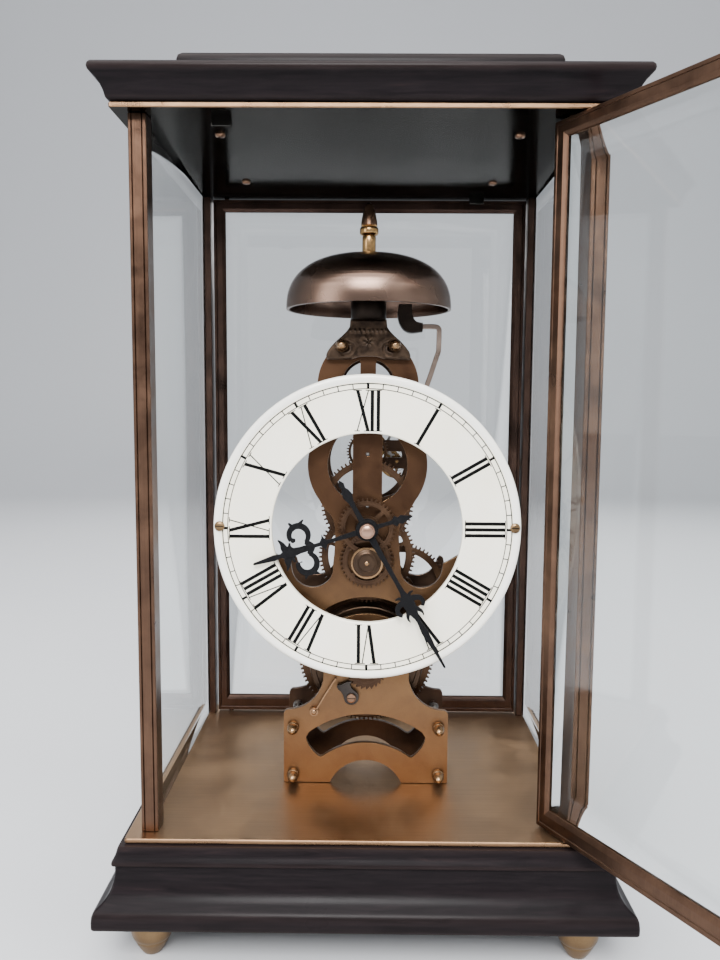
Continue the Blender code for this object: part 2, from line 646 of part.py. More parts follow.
# ---------------------------------------------------------------- dial and hands
def dial():
    front, back = DIAL_Y
    section = [(DIAL_INNER, back), (DIAL_INNER, front + 0.6), (DIAL_INNER + 0.5, front),
               (DIAL_R - 4.4, front), (DIAL_R - 3.6, front - 0.5), (DIAL_R - 1.4, front - 0.6),
               (DIAL_R - 0.3, front), (DIAL_R, front + 1.2), (DIAL_R - 0.6, back)]
    ring = place("dial", turned(section, HANDS, "Y", 48, closed=True), "enamel")
    for sx in (-1, 1):
        cut(ring, rod((sx * ARM_PAD[0], ARM_PAD[1]), 1.4, front - 3.0, back + 2.0, steps=12))
    for side, sx in (("left", -1), ("right", 1)):
        head = front - 0.6 - GAP
        profile = [(0.0, head - 1.2), (1.4, head - 1.1), (2.1, head - 0.5), (2.1, head),
                   (1.0, head), (1.0, back + GAP), (2.6, back + GAP),
                   (2.6, FRONT_Y[0] - GAP), (1.0, FRONT_Y[0] - GAP), (1.0, FRONT_Y[1] - 0.4),
                   (0.0, FRONT_Y[1] - 0.4)]
        shape = turned(profile, (sx * ARM_PAD[0], ARM_PAD[1]), "Y", 10)
        place(f"dial_screw_{side}", shape, "bronze")


def hand_outline(widths, angle):
    """A hand from (distance, half width) pairs, laid along a clockwise angle from twelve."""
    side = [(d, w) for d, w in widths]
    loop = [(w, d) for d, w in side] + [(-w, d) for d, w in reversed(side)]
    points = []
    for across, along in loop:
        x = along * math.sin(angle) + across * math.cos(angle)
        z = along * math.cos(angle) - across * math.sin(angle)
        points.append((HANDS[0] + x, HANDS[1] + z))
    return points


def hands():
    pivot = (HANDS[0], 0.0, HANDS[1])
    minute = [(-26.0, 0.3), (-22.0, 2.2), (-17.0, 1.0), (-8.0, 1.1), (-5.0, 3.6), (0.0, 5.2),
              (5.0, 3.6), (9.0, 1.3), (32.0, 1.2), (36.0, 5.6), (40.0, 3.0), (44.0, 5.0),
              (49.0, 1.3), (73.0, 0.4)]
    outline = hand_outline(minute, MINUTE_ANGLE)
    place("minute_hand", prism(outline, -38.6, -37.7, [circle(*HANDS, 2.4, 14)]), "hand_black",
          pivot)
    hour = [(-18.5, 0.4), (-14.0, 2.4), (-9.0, 1.2), (-5.4, 3.8), (0.0, 5.8), (5.4, 3.8),
            (10.0, 1.6), (20.0, 2.0), (25.0, 8.5), (30.0, 9.5), (34.0, 4.0), (38.0, 1.4),
            (54.0, 0.4)]
    outline = hand_outline(hour, HOUR_ANGLE)
    place("hour_hand", prism(outline, -36.7, -35.8, [circle(*HANDS, 3.5, 14)]), "hand_black",
          pivot)
    nut = [(1.35, -39.2), (3.2, -39.2), (3.5, -39.8), (3.5, -41.4), (2.8, -42.4), (0.0, -43.0),
           (0.0, -40.4), (1.35, -40.4)]
    place("hand_nut", turned(nut, HANDS, "Y", 12, closed=True), "brass", pivot)


def motion_work():
    pivot = (HANDS[0], 0.0, HANDS[1])
    tube = turned([(1.35, -38.9), (2.1, -38.9), (2.1, -27.0), (3.0, -26.8), (3.0, -25.0),
                   (1.35, -25.0)], HANDS, "Y", 12, closed=True)
    cannon = place("cannon_pinion", tube, "steel", pivot)
    phase = meshing_phase(MOTION_TEETH[0], HANDS, CENTRE)
    leaves = gear_outline(HANDS, MOTION_TEETH[0], MOTION_MODULE, phase)
    join(cannon, prism(leaves, -27.2, -25.3, [circle(*HANDS, 2.6, 12)]))
    phase = toward(HANDS, CENTRE)
    teeth = gear_outline(HANDS, MOTION_TEETH[3], HOUR_MODULE, phase)
    windows = crossings(HANDS, 4, 5.6, 10.2, 2.2, 45.0)
    disc = prism(teeth, -29.7, -28.3, [circle(*HANDS, 2.7, 12), *windows])
    wheel = place("hour_wheel", disc, "movement_brass", pivot)
    pipe = turned([(2.4, -37.2), (3.2, -37.2), (3.2, -30.2), (4.0, -30.0), (4.0, -28.0),
                   (2.4, -28.0)], HANDS, "Y", 12, closed=True)
    join(wheel, pipe)


# ---------------------------------------------------------------- going train
def arbor_profile(ends, radius, pivot_r=0.7, front=None, rear=None):
    """A plain arbor between the plates with thinner pivots in their holes."""
    low, high = ends
    front = FRONT_Y[0] + 0.4 if front is None else front
    rear = REAR_Y[1] - 0.4 if rear is None else rear
    return [(0.0, front), (pivot_r, front), (pivot_r, low), (radius, low), (radius, high),
            (pivot_r, high), (pivot_r, rear), (0.0, rear)]


INSIDE = (FRONT_Y[1] + 0.5, REAR_Y[0] - 0.5)


def wheel_on_arbor(name, centre, wheel, pinion, profile, module=MODULE, turn=0.0):
    """One arbor: wheel = (teeth, phase, low, high, spokes); pinion = (leaves, phase, low, high, module)."""
    teeth, phase, low, high, spokes = wheel
    radius = teeth * module / 2.0
    outline = gear_outline(centre, teeth, module, phase)
    windows = crossings(centre, spokes, radius * 0.28, radius * 0.82, 2.0, turn)
    piece = place(name, prism(outline, low, high, windows), "movement_brass",
                  (centre[0], 0.0, centre[1]))
    leaves, phase, low, high, pinion_module = pinion
    outline = gear_outline(centre, leaves, pinion_module, phase)
    join(piece, turned(profile, centre, "Y", 8), prism(outline, low, high))
    return piece


def barrel():
    pivot = (GREAT[0], 0.0, GREAT[1])
    outline = gear_outline(GREAT, GREAT_TEETH, MODULE, toward(GREAT, INTER))
    disc = prism(outline, -3.2, -1.2, [circle(*GREAT, 3.4, 20)])
    place("great_wheel", disc, "movement_brass", pivot)
    section = [(3.4, -15.0), (BARREL_R - 0.6, -15.0), (BARREL_R, -14.4), (BARREL_R, -3.5),
               (BARREL_R - 1.4, -3.5), (BARREL_R - 1.4, -13.6), (3.4, -13.6)]
    drum = turned(section, GREAT, "Y", 28, closed=True)
    place("barrel_drum", drum, "movement_brass", pivot)
    place("mainspring", spiral(GREAT, 6.0, BARREL_R - 2.2, 5, 0.8, -13.2, -3.9, 14), "steel",
          pivot)


def spiral(centre, inner, outer, turns, thick, low, high, steps):
    """A flat wound strip, as one outline extruded along the arbor."""
    count = turns * steps
    left, right = [], []
    for i in range(count + 1):
        angle = TAU * i / steps
        radius = inner + (outer - inner) * i / count
        for side, offset in ((left, -thick / 2.0), (right, thick / 2.0)):
            reach = radius + offset
            side.append((centre[0] + reach * math.cos(angle), centre[1] + reach * math.sin(angle)))
    return prism(left + right[::-1], low, high)


def ratchet_outline():
    points = []
    for i in range(RATCHET_TEETH):
        start = TAU * i / RATCHET_TEETH
        for radius, share in ((RATCHET_R - 1.5, -0.12), (RATCHET_R, 0.0)):
            angle = start + share * TAU / RATCHET_TEETH
            points.append((GREAT[0] + radius * math.cos(angle), GREAT[1] + radius * math.sin(angle)))
    return points


def winding():
    """The winding arbor: hub inside the spring, ratchet in front, square for the key behind."""
    profile = [(0.0, -29.6), (2.4, -29.6), (2.9, -29.0), (2.9, -13.2), (5.0, -13.2), (5.0, -3.9),
               (2.9, -3.9), (2.9, 8.4), (0.0, 8.4)]
    arbor = place("winding_arbor", turned(profile, GREAT, "Y", 12), "steel",
                  (GREAT[0], 0.0, GREAT[1]))
    square = box(-2.1, 2.1, 7.6, 20.0, GREAT[1] - 2.1, GREAT[1] + 2.1)
    join(arbor, square, prism(ratchet_outline(), -27.4, -25.2))
    reach = RATCHET_R - 1.05
    tip = math.radians(221.1)
    nose = (GREAT[0] + reach * math.cos(tip), GREAT[1] + reach * math.sin(tip))
    outline = [nose, (-8.3, 83.2), (-6.4, 81.4), *arc(*CLICK, 3.6, 40.0, -160.0, 7),
               (-13.6, 82.0), (-14.0, 84.0), (-9.2, 85.3)]
    click = prism(outline, -27.3, -25.2, [circle(*CLICK, 1.5, 8)])
    place("click", click, "steel", (CLICK[0], 0.0, CLICK[1]))
    screw = turned([(0.0, -28.4), (2.3, -28.2), (2.3, -27.6), (1.2, -27.6), (1.2, FRONT_Y[1] - 0.6),
                    (0.0, FRONT_Y[1] - 0.6)], CLICK, "Y", 10)
    place("click_screw", screw, "steel")
    strip = ribbon([(-14.4, 86.9), (-17.6, 81.9), (-20.9, 76.3), (-24.4, 70.4)], 0.35)
    spring = place("click_spring", prism(strip, -27.0, -25.2), "steel")
    join(spring, box(-26.4, -23.4, -27.0, FRONT_Y[0] - 0.3, 68.4, 72.0))


def train():
    profile = arbor_profile(INSIDE, 1.5)
    wheel_on_arbor("intermediate_wheel", INTER,
                   (INTER_TEETH[1], toward(INTER, CENTRE), 0.8, 2.2, 5),
                   (INTER_TEETH[0], meshing_phase(INTER_TEETH[0], INTER, GREAT), -3.8, -0.6,
                    MODULE), profile)
    front = -32.2
    profile = [(0.0, front - 0.6), (0.9, front - 0.6), (1.2, front), (4.6, front),
               (4.8, front + 0.5), (7.2, front + 0.6), (7.6, front + 1.2), (7.6, front + 1.8),
               (2.0, front + 2.0), (2.0, -21.5), (1.7, -21.4), (1.7, INSIDE[1]), (0.7, INSIDE[1]),
               (0.7, REAR_Y[1] - 0.4), (0.0, REAR_Y[1] - 0.4)]
    piece = wheel_on_arbor("centre_wheel", CENTRE,
                           (CENTRE_TEETH[1], toward(CENTRE, THIRD), -11.2, -9.6, 5),
                           (CENTRE_TEETH[0], meshing_phase(CENTRE_TEETH[0], CENTRE, INTER),
                            0.5, 2.6, MODULE), profile, turn=90.0)
    outline = gear_outline(CENTRE, MOTION_TEETH[1], MOTION_MODULE, toward(CENTRE, HANDS))
    windows = crossings(CENTRE, 4, 4.6, 9.2, 2.2, 45.0)
    phase = meshing_phase(MOTION_TEETH[2], CENTRE, HANDS)
    leaves = gear_outline(CENTRE, MOTION_TEETH[2], HOUR_MODULE, phase)
    join(piece, prism(outline, -27.0, -25.5, windows), prism(leaves, -29.8, -28.2))
    profile = arbor_profile(INSIDE, 1.2)
    wheel_on_arbor("third_wheel", THIRD,
                   (THIRD_TEETH[1], toward(THIRD, FOURTH), -17.2, -15.8, 5),
                   (THIRD_TEETH[0], meshing_phase(THIRD_TEETH[0], THIRD, CENTRE), -11.6, -9.2,
                    MODULE), profile, turn=90.0)
    wheel_on_arbor("fourth_wheel", FOURTH,
                   (FOURTH_TEETH[1], toward(FOURTH, ESCAPE), -6.2, -5.0, 4),
                   (FOURTH_TEETH[0], meshing_phase(FOURTH_TEETH[0], FOURTH, THIRD), -17.6, -15.4,
                    MODULE), profile, module=FINE, turn=38.0)


def escape_outline():
    """Club teeth with a steep front and a long back."""
    points = []
    pitch = TAU / ESCAPE_TEETH
    for i in range(ESCAPE_TEETH):
        start = i * pitch
        for radius, share in ((ESCAPE_R - 2.6, 0.0), (ESCAPE_R - 0.4, 0.30), (ESCAPE_R, 0.46),
                              (ESCAPE_R - 2.6, 0.34)):
            angle = start + share * pitch
            points.append((ESCAPE[0] + radius * math.cos(angle),
                           ESCAPE[1] + radius * math.sin(angle)))
    return points


def line_frame(origin, points):
    """Points given as (along, across) the line from the escape wheel to the balance."""
    c, s = math.cos(ESCAPE_LINE), math.sin(ESCAPE_LINE)
    return [(origin[0] + a * c - b * s, origin[1] + a * s + b * c) for a, b in points]


def escapement():
    plane = (9.0, 10.2)
    windows = crossings(ESCAPE, 4, 2.4, 7.0, 1.2, 20.0)
    wheel = place("escape_wheel", prism(escape_outline(), *plane, windows), "brass",
                  (ESCAPE[0], 0.0, ESCAPE[1]))
    phase = meshing_phase(ESCAPE_LEAVES, ESCAPE, FOURTH)
    leaves = gear_outline(ESCAPE, ESCAPE_LEAVES, FINE, phase)
    profile = arbor_profile((INSIDE[0], 12.0), 1.0, front=FRONT_Y[0] + 0.4, rear=16.8)
    join(wheel, turned(profile, ESCAPE, "Y", 12), prism(leaves, -6.8, -4.4))
    arms = [(1.6, 1.5), (-1.0, 4.6), (-3.4, 9.2), (-5.2, 10.8), (-6.2, 9.9), (-4.4, 8.4),
            (-2.0, 3.6), (-1.9, 0.0)]
    outline = arms + [(a, -b) for a, b in reversed(arms[:-1])]
    fork = [(5.4, -0.6), (6.2, -1.3), (6.9, -1.3), (6.9, -0.7), (6.2, 0.0), (6.9, 0.7),
            (6.9, 1.3), (6.2, 1.3), (5.4, 0.6)]
    lever = place("pallet_lever", prism(line_frame(PALLET, outline + fork), *plane), "steel",
                  (PALLET[0], 0.0, PALLET[1]))
    staff = [(0.0, 5.1), (0.45, 5.1), (0.45, 7.7), (0.9, 7.7), (0.9, 11.0), (0.45, 11.0),
             (0.45, 16.8), (0.0, 16.8)]
    join(lever, turned(staff, PALLET, "Y", 8))


def balance():
    pivot = (BALANCE[0], 0.0, BALANCE[1])
    rim = circle(*BALANCE, BALANCE_R, 24)
    windows = crossings(BALANCE, 3, 1.9, BALANCE_R - 1.5, 1.3, 30.0, 6)
    wheel = place("balance_wheel", prism(rim, 11.6, 12.9, windows), "brass", pivot)
    staff = [(0.0, 5.1), (0.5, 5.1), (0.5, 7.7), (0.9, 7.7), (0.9, 8.8), (2.0, 8.8), (2.0, 10.4),
             (0.9, 10.4), (0.9, 15.2), (0.5, 15.2), (0.5, 16.8), (0.0, 16.8)]
    join(wheel, turned(staff, BALANCE, "Y", 8))
    place("hairspring", spiral(BALANCE, 1.6, 5.6, 4, 0.16, 13.5, 14.3, 10), "steel", pivot)


def balance_cock():
    """A bridge behind the rear plate that holds the rear pivots of the escapement."""
    outline = line_frame(ESCAPE, [(-4.0, -4.0), (3.0, -3.0), (12.0, -2.4), (20.0, -3.0), (27.0, -3.2),
                                  (27.0, 3.2), (20.0, 3.0), (12.0, 2.4), (3.0, 3.0), (-4.0, 4.0),
                                  (-13.4, 4.0), (-17.6, 3.0), (-17.6, -3.0), (-13.4, -4.0)])
    holes = pivot_holes([(ESCAPE, 0.9), (PALLET, 0.7), (BALANCE, 0.7)])
    cock = place("balance_cock", prism(outline, 15.6, 17.4, holes), "brass")
    spot = line_frame(ESCAPE, [(-15.4, 0.0)])[0]
    join(cock, rod(spot, 2.2, REAR_Y[1] + GAP, 16.2))


def main():
    clear_scene()
    wooden_parts()
    feet()
    plates()
    posts()
    side_glasses()
    doors()
    movement_plates()
    pillars()
    bracket_bolts()
    bell_parts()
    hammer()
    dial()
    hands()
    motion_work()
    barrel()
    winding()
    train()
    escapement()
    balance()
    balance_cock()


main()
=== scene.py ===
"""The looks of the four-glass skeleton clock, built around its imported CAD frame.

Shapes are written in millimetres in the frame's own axes and turned into metres when placed.
X runs to the viewer's right, Y to the back, Z up.
"""

import json
from math import asin, atan2, cos, degrees, exp, hypot, pi, radians, sin, sqrt

import bmesh
import bpy
from mathutils import Matrix, Vector


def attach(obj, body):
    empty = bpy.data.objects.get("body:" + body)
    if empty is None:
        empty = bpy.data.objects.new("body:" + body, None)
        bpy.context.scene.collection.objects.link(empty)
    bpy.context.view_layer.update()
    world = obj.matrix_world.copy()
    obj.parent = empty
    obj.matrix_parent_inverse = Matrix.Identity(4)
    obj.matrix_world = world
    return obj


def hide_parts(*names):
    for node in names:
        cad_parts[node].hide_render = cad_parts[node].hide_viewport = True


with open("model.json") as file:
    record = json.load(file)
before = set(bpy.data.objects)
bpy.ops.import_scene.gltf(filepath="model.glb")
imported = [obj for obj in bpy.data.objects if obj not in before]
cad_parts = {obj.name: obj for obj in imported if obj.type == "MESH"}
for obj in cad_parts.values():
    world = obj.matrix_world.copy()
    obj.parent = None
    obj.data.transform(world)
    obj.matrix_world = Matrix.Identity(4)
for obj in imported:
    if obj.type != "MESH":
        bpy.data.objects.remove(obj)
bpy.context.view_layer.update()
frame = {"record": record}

MM = 0.001
TAU = 2 * pi
BODY_OF = {node: body for body, nodes in frame["record"]["behaviour"]["bodies"].items()
           for node in nodes}


# ---------------------------------------------------------------- dimensions shared with the CAD
HALF_W, HALF_D = 96, 72
FLOOR_Z, CEIL_Z = 34, 332
FRONT_Y, REAR_Y = (-24.6, -22), (4.7, 7.3)
GREAT, CENTRE, HANDS = (0, 91.3), (0, 143.7), (0, 160.2)
INTER, THIRD, FOURTH = (17.637095, 124.733111), (0, 169.6), (0, 194.1)
ESCAPE = (0, 206.1)
LINE = radians(-50)
PALLET, BALANCE = [(ESCAPE[0] + r * cos(LINE), ESCAPE[1] + r * sin(LINE))
                   for r in (13.2, 23)]
CLICK = (-7, 77.6)
PILLARS = {"upper": (35, 62.4), "lower": (35, 38.8)}
BOLT = (12.1, 244)
ARM_PAD = (67.9, 161.2)
DIAL_FRONT, DIAL_BACK = -34, -31.5
BELL_Y, BELL_RIM, BELL_ROUND = -16, 261.2, 0.8
HAMMER = (17, 214)
MODULE, FINE = 0.7, 0.5
MOTION_MODULE = 2 * 16.5 / 48
HOUR_MODULE = 2 * 16.5 / 50
DOOR_OPEN = radians(119.5)
HINGE = (80.5, 69)
MINUTE_ANGLE, HOUR_ANGLE = radians(150.3), radians(252.5)


# ---------------------------------------------------------------- material helpers
class Nodes:
    """Short calls for building a node tree."""

    def __init__(self, name):
        self.mat = bpy.data.materials.new(name)
        self.mat.use_nodes = True
        self.tree = self.mat.node_tree
        self.shader = self.tree.nodes["Principled BSDF"]
        self.output = self.tree.nodes["Material Output"]

    def add(self, kind, **values):
        node = self.tree.nodes.new(kind)
        for key, value in values.items():
            if hasattr(node, key):
                setattr(node, key, value)
            else:
                node.inputs[key.replace("_", " ")].default_value = value
        return node

    def link(self, source, target):
        self.tree.links.new(source, target)

    def coat(self, colour, rough):
        """Feed the shader's colour and roughness."""
        self.link(colour, self.shader.inputs["Base Color"])
        self.link(rough, self.shader.inputs["Roughness"])

    def coordinates(self, scale=(1, 1, 1)):
        coords = self.add("ShaderNodeTexCoord")
        mapping = self.add("ShaderNodeMapping")
        mapping.inputs["Scale"].default_value = scale
        self.link(coords.outputs["Object"], mapping.inputs["Vector"])
        return mapping.outputs["Vector"]

    def noise(self, vector, scale, detail=3, roughness=0.55, distortion=0):
        node = self.add("ShaderNodeTexNoise", Scale=scale, Detail=detail, Roughness=roughness,
                        Distortion=distortion)
        self.link(vector, node.inputs["Vector"])
        return node.outputs["Fac"]

    def ramp(self, factor, stops):
        node = self.add("ShaderNodeValToRGB")
        elements = node.color_ramp.elements
        while len(elements) < len(stops):
            elements.new(0.5)
        for element, (place, colour) in zip(elements, stops):
            element.position = place
            element.color = (*colour, 1)
        self.link(factor, node.inputs["Fac"])
        return node.outputs["Color"]

    def remap(self, value, low, high, from_low=0.3, from_high=0.7):
        node = self.add("ShaderNodeMapRange")
        for key, number in (("From Min", from_low), ("From Max", from_high), ("To Min", low),
                            ("To Max", high)):
            node.inputs[key].default_value = number
        self.link(value, node.inputs["Value"])
        return node.outputs["Result"]

    def mix(self, factor, one, two, blend="MIX"):
        node = self.add("ShaderNodeMix", data_type="RGBA", blend_type=blend)
        if isinstance(factor, (int, float)):
            node.inputs[0].default_value = factor
        else:
            self.link(factor, node.inputs[0])
        for socket, colour in ((node.inputs[6], one), (node.inputs[7], two)):
            if isinstance(colour, tuple):
                socket.default_value = (*colour, 1)
            else:
                self.link(colour, socket)
        return node.outputs[2]

    def bump(self, height, strength, distance):
        node = self.add("ShaderNodeBump", Strength=strength, Distance=distance)
        self.link(height, node.inputs["Height"])
        self.link(node.outputs["Normal"], self.shader.inputs["Normal"])


def metal(name, light, dark, rough, grain=(1, 1, 1), grain_scale=1800, bump=0.05, stain=0.5,
          stain_scale=70, rings=None, wear=0, aniso=0, upper=None, edge_tint=1):
    """Aged metal: colour drift, fine brushing along one axis, worn bright edges.

    rings = (direction, scale, strength) adds turning marks; upper = (tint, from height, to height)
    is painted shade, darkening the metal towards the top of the piece; edge_tint dims its
    glancing reflections.
    """
    n = Nodes(name)
    fine = n.noise(n.coordinates(grain), grain_scale, 4, 0.6)
    broad = n.noise(n.coordinates(), stain_scale, 5, 0.62, 0.4)
    colour = n.ramp(broad, [(0.3, dark), (0.68, light)])
    streak = n.ramp(fine, [(0.3, (0.72, 0.72, 0.72)), (0.7, (1, 1, 1))])
    colour = n.mix(stain, colour, streak, "MULTIPLY")
    # Painted shade: the colour darkens towards the top of the piece, where the dial and the ceiling
    # shade it.
    if upper:
        split = n.add("ShaderNodeSeparateXYZ")
        n.link(n.coordinates(), split.inputs[0])
        colour = n.mix(n.remap(split.outputs["Z"], 0, 1, upper[1], upper[2]), colour,
                       n.mix(1, colour, upper[0], "MULTIPLY"))
    height = fine
    if rings:
        wave = n.add("ShaderNodeTexWave", wave_type="RINGS", rings_direction=rings[0],
                     Scale=rings[1], Distortion=1.2, Detail=3)
        wave.inputs["Detail Scale"].default_value = 2.4
        n.link(n.coordinates(), wave.inputs["Vector"])
        lines = n.ramp(wave.outputs["Fac"], [(0, (0.66, 0.66, 0.66)), (1, (1, 1, 1))])
        colour = n.mix(rings[2], colour, lines, "MULTIPLY")
        height = wave.outputs["Fac"]
    if wear:
        geometry = n.add("ShaderNodeNewGeometry")
        edge = n.remap(geometry.outputs["Pointiness"], 0, wear, 0.52, 0.6)
        bright = tuple(min(1, 1.5 * c + 0.05) for c in light)
        colour = n.mix(edge, colour, bright)
    n.coat(colour, n.remap(broad, rough * 0.8, rough * 1.35))
    n.shader.inputs["Metallic"].default_value = 1
    n.shader.inputs["Anisotropic"].default_value = aniso
    n.shader.inputs["Specular Tint"].default_value = (edge_tint, edge_tint, edge_tint, 1)
    n.bump(height, bump, 0.0004)
    return n.mat


def black_wood(name):
    """Black stained wood under satin lacquer: faint long grain, brown where it has worn thin."""
    n = Nodes(name)
    along = n.coordinates((1, 9, 14))
    grain = n.noise(along, 42, 6, 0.6, 0.6)
    broad = n.noise(n.coordinates(), 16, 4, 0.55, 0.5)
    colour = n.ramp(grain, [(0.34, (0.0045, 0.0035, 0.004)), (0.62, (0.0085, 0.0062, 0.007)),
                            (0.82, (0.016, 0.01, 0.01))])
    geometry = n.add("ShaderNodeNewGeometry")
    edge = n.remap(geometry.outputs["Pointiness"], 0, 0.55, 0.53, 0.62)
    worn = n.mix(broad, (0.022, 0.013, 0.011), (0.042, 0.026, 0.022))
    n.coat(n.mix(edge, colour, worn), n.remap(broad, 0.26, 0.36))
    n.shader.inputs["Specular IOR Level"].default_value = 0.07
    n.bump(grain, 0.05, 0.0006)
    return n.mat


def enamel(name, colour, rough=0.16):
    """White vitreous enamel: slight unevenness in the gloss and a warm drift in the white."""
    n = Nodes(name)
    broad = n.noise(n.coordinates(), 38, 3, 0.5)
    warm = tuple(c * k for c, k in zip(colour, (0.985, 0.965, 0.9)))
    n.coat(n.ramp(broad, [(0.3, warm), (0.7, colour)]), n.remap(broad, rough, rough * 1.5))
    n.shader.inputs["Coat Weight"].default_value = 0.5
    n.shader.inputs["Coat Roughness"].default_value = 0.08
    n.bump(n.noise(n.coordinates(), 240, 2), 0.05, 0.0004)
    return n.mat


def ink(name, colour=(0.003, 0.003, 0.003), rough=0.5):
    """Black paint with a faint orange-peel surface."""
    n = Nodes(name)
    fine = n.noise(n.coordinates(), 1400, 3)
    pale = tuple(c * 2.2 for c in colour)
    n.coat(n.ramp(fine, [(0.35, colour), (0.75, pale)]), n.remap(fine, rough * 0.85, rough * 1.2))
    n.shader.inputs["Specular IOR Level"].default_value = 0.03
    n.bump(fine, 0.08, 0.0003)
    return n.mat


def clear_glass(name, tint, dust=0):
    """Clear glass that lets the lamps' light straight through, with a trace of dust."""
    n = Nodes(name)
    n.shader.inputs["Base Color"].default_value = (*tint, 1)
    n.shader.inputs["Transmission Weight"].default_value = 1
    n.shader.inputs["IOR"].default_value = 1.48
    n.shader.inputs["Specular IOR Level"].default_value = 0.22
    haze = n.noise(n.coordinates((1, 1, 0.35)), 26, 5, 0.7, 1.2)
    n.link(n.remap(haze, 0, dust, 0.45, 0.85), n.shader.inputs["Roughness"])
    path = n.add("ShaderNodeLightPath")
    either = n.add("ShaderNodeMath", operation="MAXIMUM")
    n.link(path.outputs["Is Shadow Ray"], either.inputs[0])
    n.link(path.outputs["Is Diffuse Ray"], either.inputs[1])
    through = n.add("ShaderNodeBsdfTransparent")
    through.inputs["Color"].default_value = (*(0.5 + 0.5 * c for c in tint), 1)
    blend = n.add("ShaderNodeMixShader")
    n.link(either.outputs[0], blend.inputs[0])
    n.link(n.shader.outputs[0], blend.inputs[1])
    n.link(through.outputs[0], blend.inputs[2])
    n.link(blend.outputs[0], n.output.inputs["Surface"])
    return n.mat


MATERIALS = {
    "wood": black_wood("wood_black"),
    "post": metal("post_bronze", (0.125, 0.071, 0.046), (0.072, 0.041, 0.028), 0.33,
                  (1, 1, 0.02), 1600, 0.08, 0.5),
    "dark_frame": metal("frame_dark_bronze", (0.06, 0.036, 0.028), (0.034, 0.022, 0.018), 0.34,
                        (1, 1, 0.02), 1600, 0.06, 0.5),
    "floor": metal("floor_copper", (0.3, 0.19, 0.108), (0.235, 0.148, 0.085), 0.37,
                   (0.02, 1, 1), 1500, 0.04, 0.5, 26, aniso=0.3),
    "ceiling": metal("ceiling_plate", (0.05, 0.048, 0.044), (0.038, 0.036, 0.033), 0.14,
                     (0.03, 1, 1), 1200, 0.02, 0.25, 24, edge_tint=0.5),
    # The front plate's metal carries painted shade, darker towards its top where the dial and
    # ceiling shade it.
    "plate": metal("plate_aged_brass", (0.22, 0.125, 0.062), (0.15, 0.084, 0.045), 0.38,
                   grain_scale=2600, bump=0.22, stain=0.6, stain_scale=60,
                   upper=((0.34, 0.31, 0.34), 0.085, 0.165)),
    "plate_edge": metal("plate_edge_bright", (0.46, 0.27, 0.13), (0.34, 0.19, 0.095), 0.26),
    # Painted shade: the rear plate's metal is the front plate's, darkened for the shade it stands
    # in behind the front plate.
    "plate_painted_shade": metal("plate_painted_shade_bronze", (0.07, 0.042, 0.028), (0.04, 0.026, 0.02), 0.42,
                        grain_scale=2400, bump=0.2, stain=0.6),
    "wheel": metal("wheel_aged_brass", (0.105, 0.06, 0.035), (0.052, 0.03, 0.02), 0.34,
                   grain_scale=2000, bump=0.1, rings=("Y", 260, 0.35)),
    "brass": metal("brass_polished", (0.5, 0.31, 0.13), (0.34, 0.2, 0.085), 0.24),
    "brass_dull": metal("brass_dull", (0.24, 0.155, 0.08), (0.15, 0.094, 0.05), 0.34,
                        bump=0.08),
    "copper": metal("copper_polished", (0.26, 0.15, 0.095), (0.165, 0.095, 0.062), 0.27),
    "bell": metal("bell_bronze", (0.15, 0.098, 0.074), (0.12, 0.078, 0.06), 0.24,
                  grain_scale=1500, bump=0.03, stain=0.12, stain_scale=9,
                  rings=("Z", 420, 0.28), aniso=0.6),
    "column": metal("column_dark", (0.034, 0.025, 0.02), (0.018, 0.014, 0.012), 0.4,
                    grain_scale=1500, bump=0.25),
    "bracket": metal("bracket_relief_bronze", (0.07, 0.046, 0.031), (0.02, 0.014, 0.011), 0.36,
                     grain_scale=1700, bump=0.35, stain_scale=260, wear=0.9),
    "steel": metal("steel_satin", (0.4, 0.38, 0.36), (0.24, 0.23, 0.22), 0.28,
                   grain_scale=1700, bump=0.06),
    "arm": metal("hammer_strip", (0.27, 0.205, 0.17), (0.19, 0.145, 0.12), 0.3,
                 grain_scale=1700),
    "blued": metal("steel_dark", (0.065, 0.055, 0.05), (0.03, 0.026, 0.024), 0.34,
                   grain_scale=1700, bump=0.1),
    "enamel": enamel("enamel_ivory", (0.97, 0.925, 0.8)),
    "rim": enamel("enamel_rim_white", (0.97, 0.955, 0.91), 0.12),
    "ink": ink("dial_ink"),
    "hand": ink("hand_black", (0.005, 0.005, 0.0055), 0.36),
    "boss": metal("boss_brass", (0.38, 0.235, 0.125), (0.22, 0.13, 0.068), 0.24),
    "barrel": metal("barrel_brass", (0.08, 0.05, 0.032), (0.045, 0.03, 0.022), 0.32,
                    bump=0.06, rings=("Y", 300, 0.3)),
    "nut": metal("hand_nut_rose", (0.46, 0.28, 0.2), (0.33, 0.19, 0.135), 0.28),
    "edge_copper": metal("plate_edge_copper", (0.33, 0.195, 0.108), (0.24, 0.14, 0.078), 0.28,
                         grain_scale=1500),
    "glass": clear_glass("glass_clear", (0.95, 0.972, 0.968), 0.05),
}


# ---------------------------------------------------------------- shape helpers
def arc(cx, cz, radius, start, end, steps):
    return [polar((cx, cz), radius, radians(start + (end - start) * i / steps))
            for i in range(steps + 1)]


def polar(centre, radius, angle):
    return (centre[0] + radius * cos(angle), centre[1] + radius * sin(angle))


def circle(cx, cz, radius, steps=40):
    return arc(cx, cz, radius, 0, 360 * (steps - 1) / steps, steps - 1)


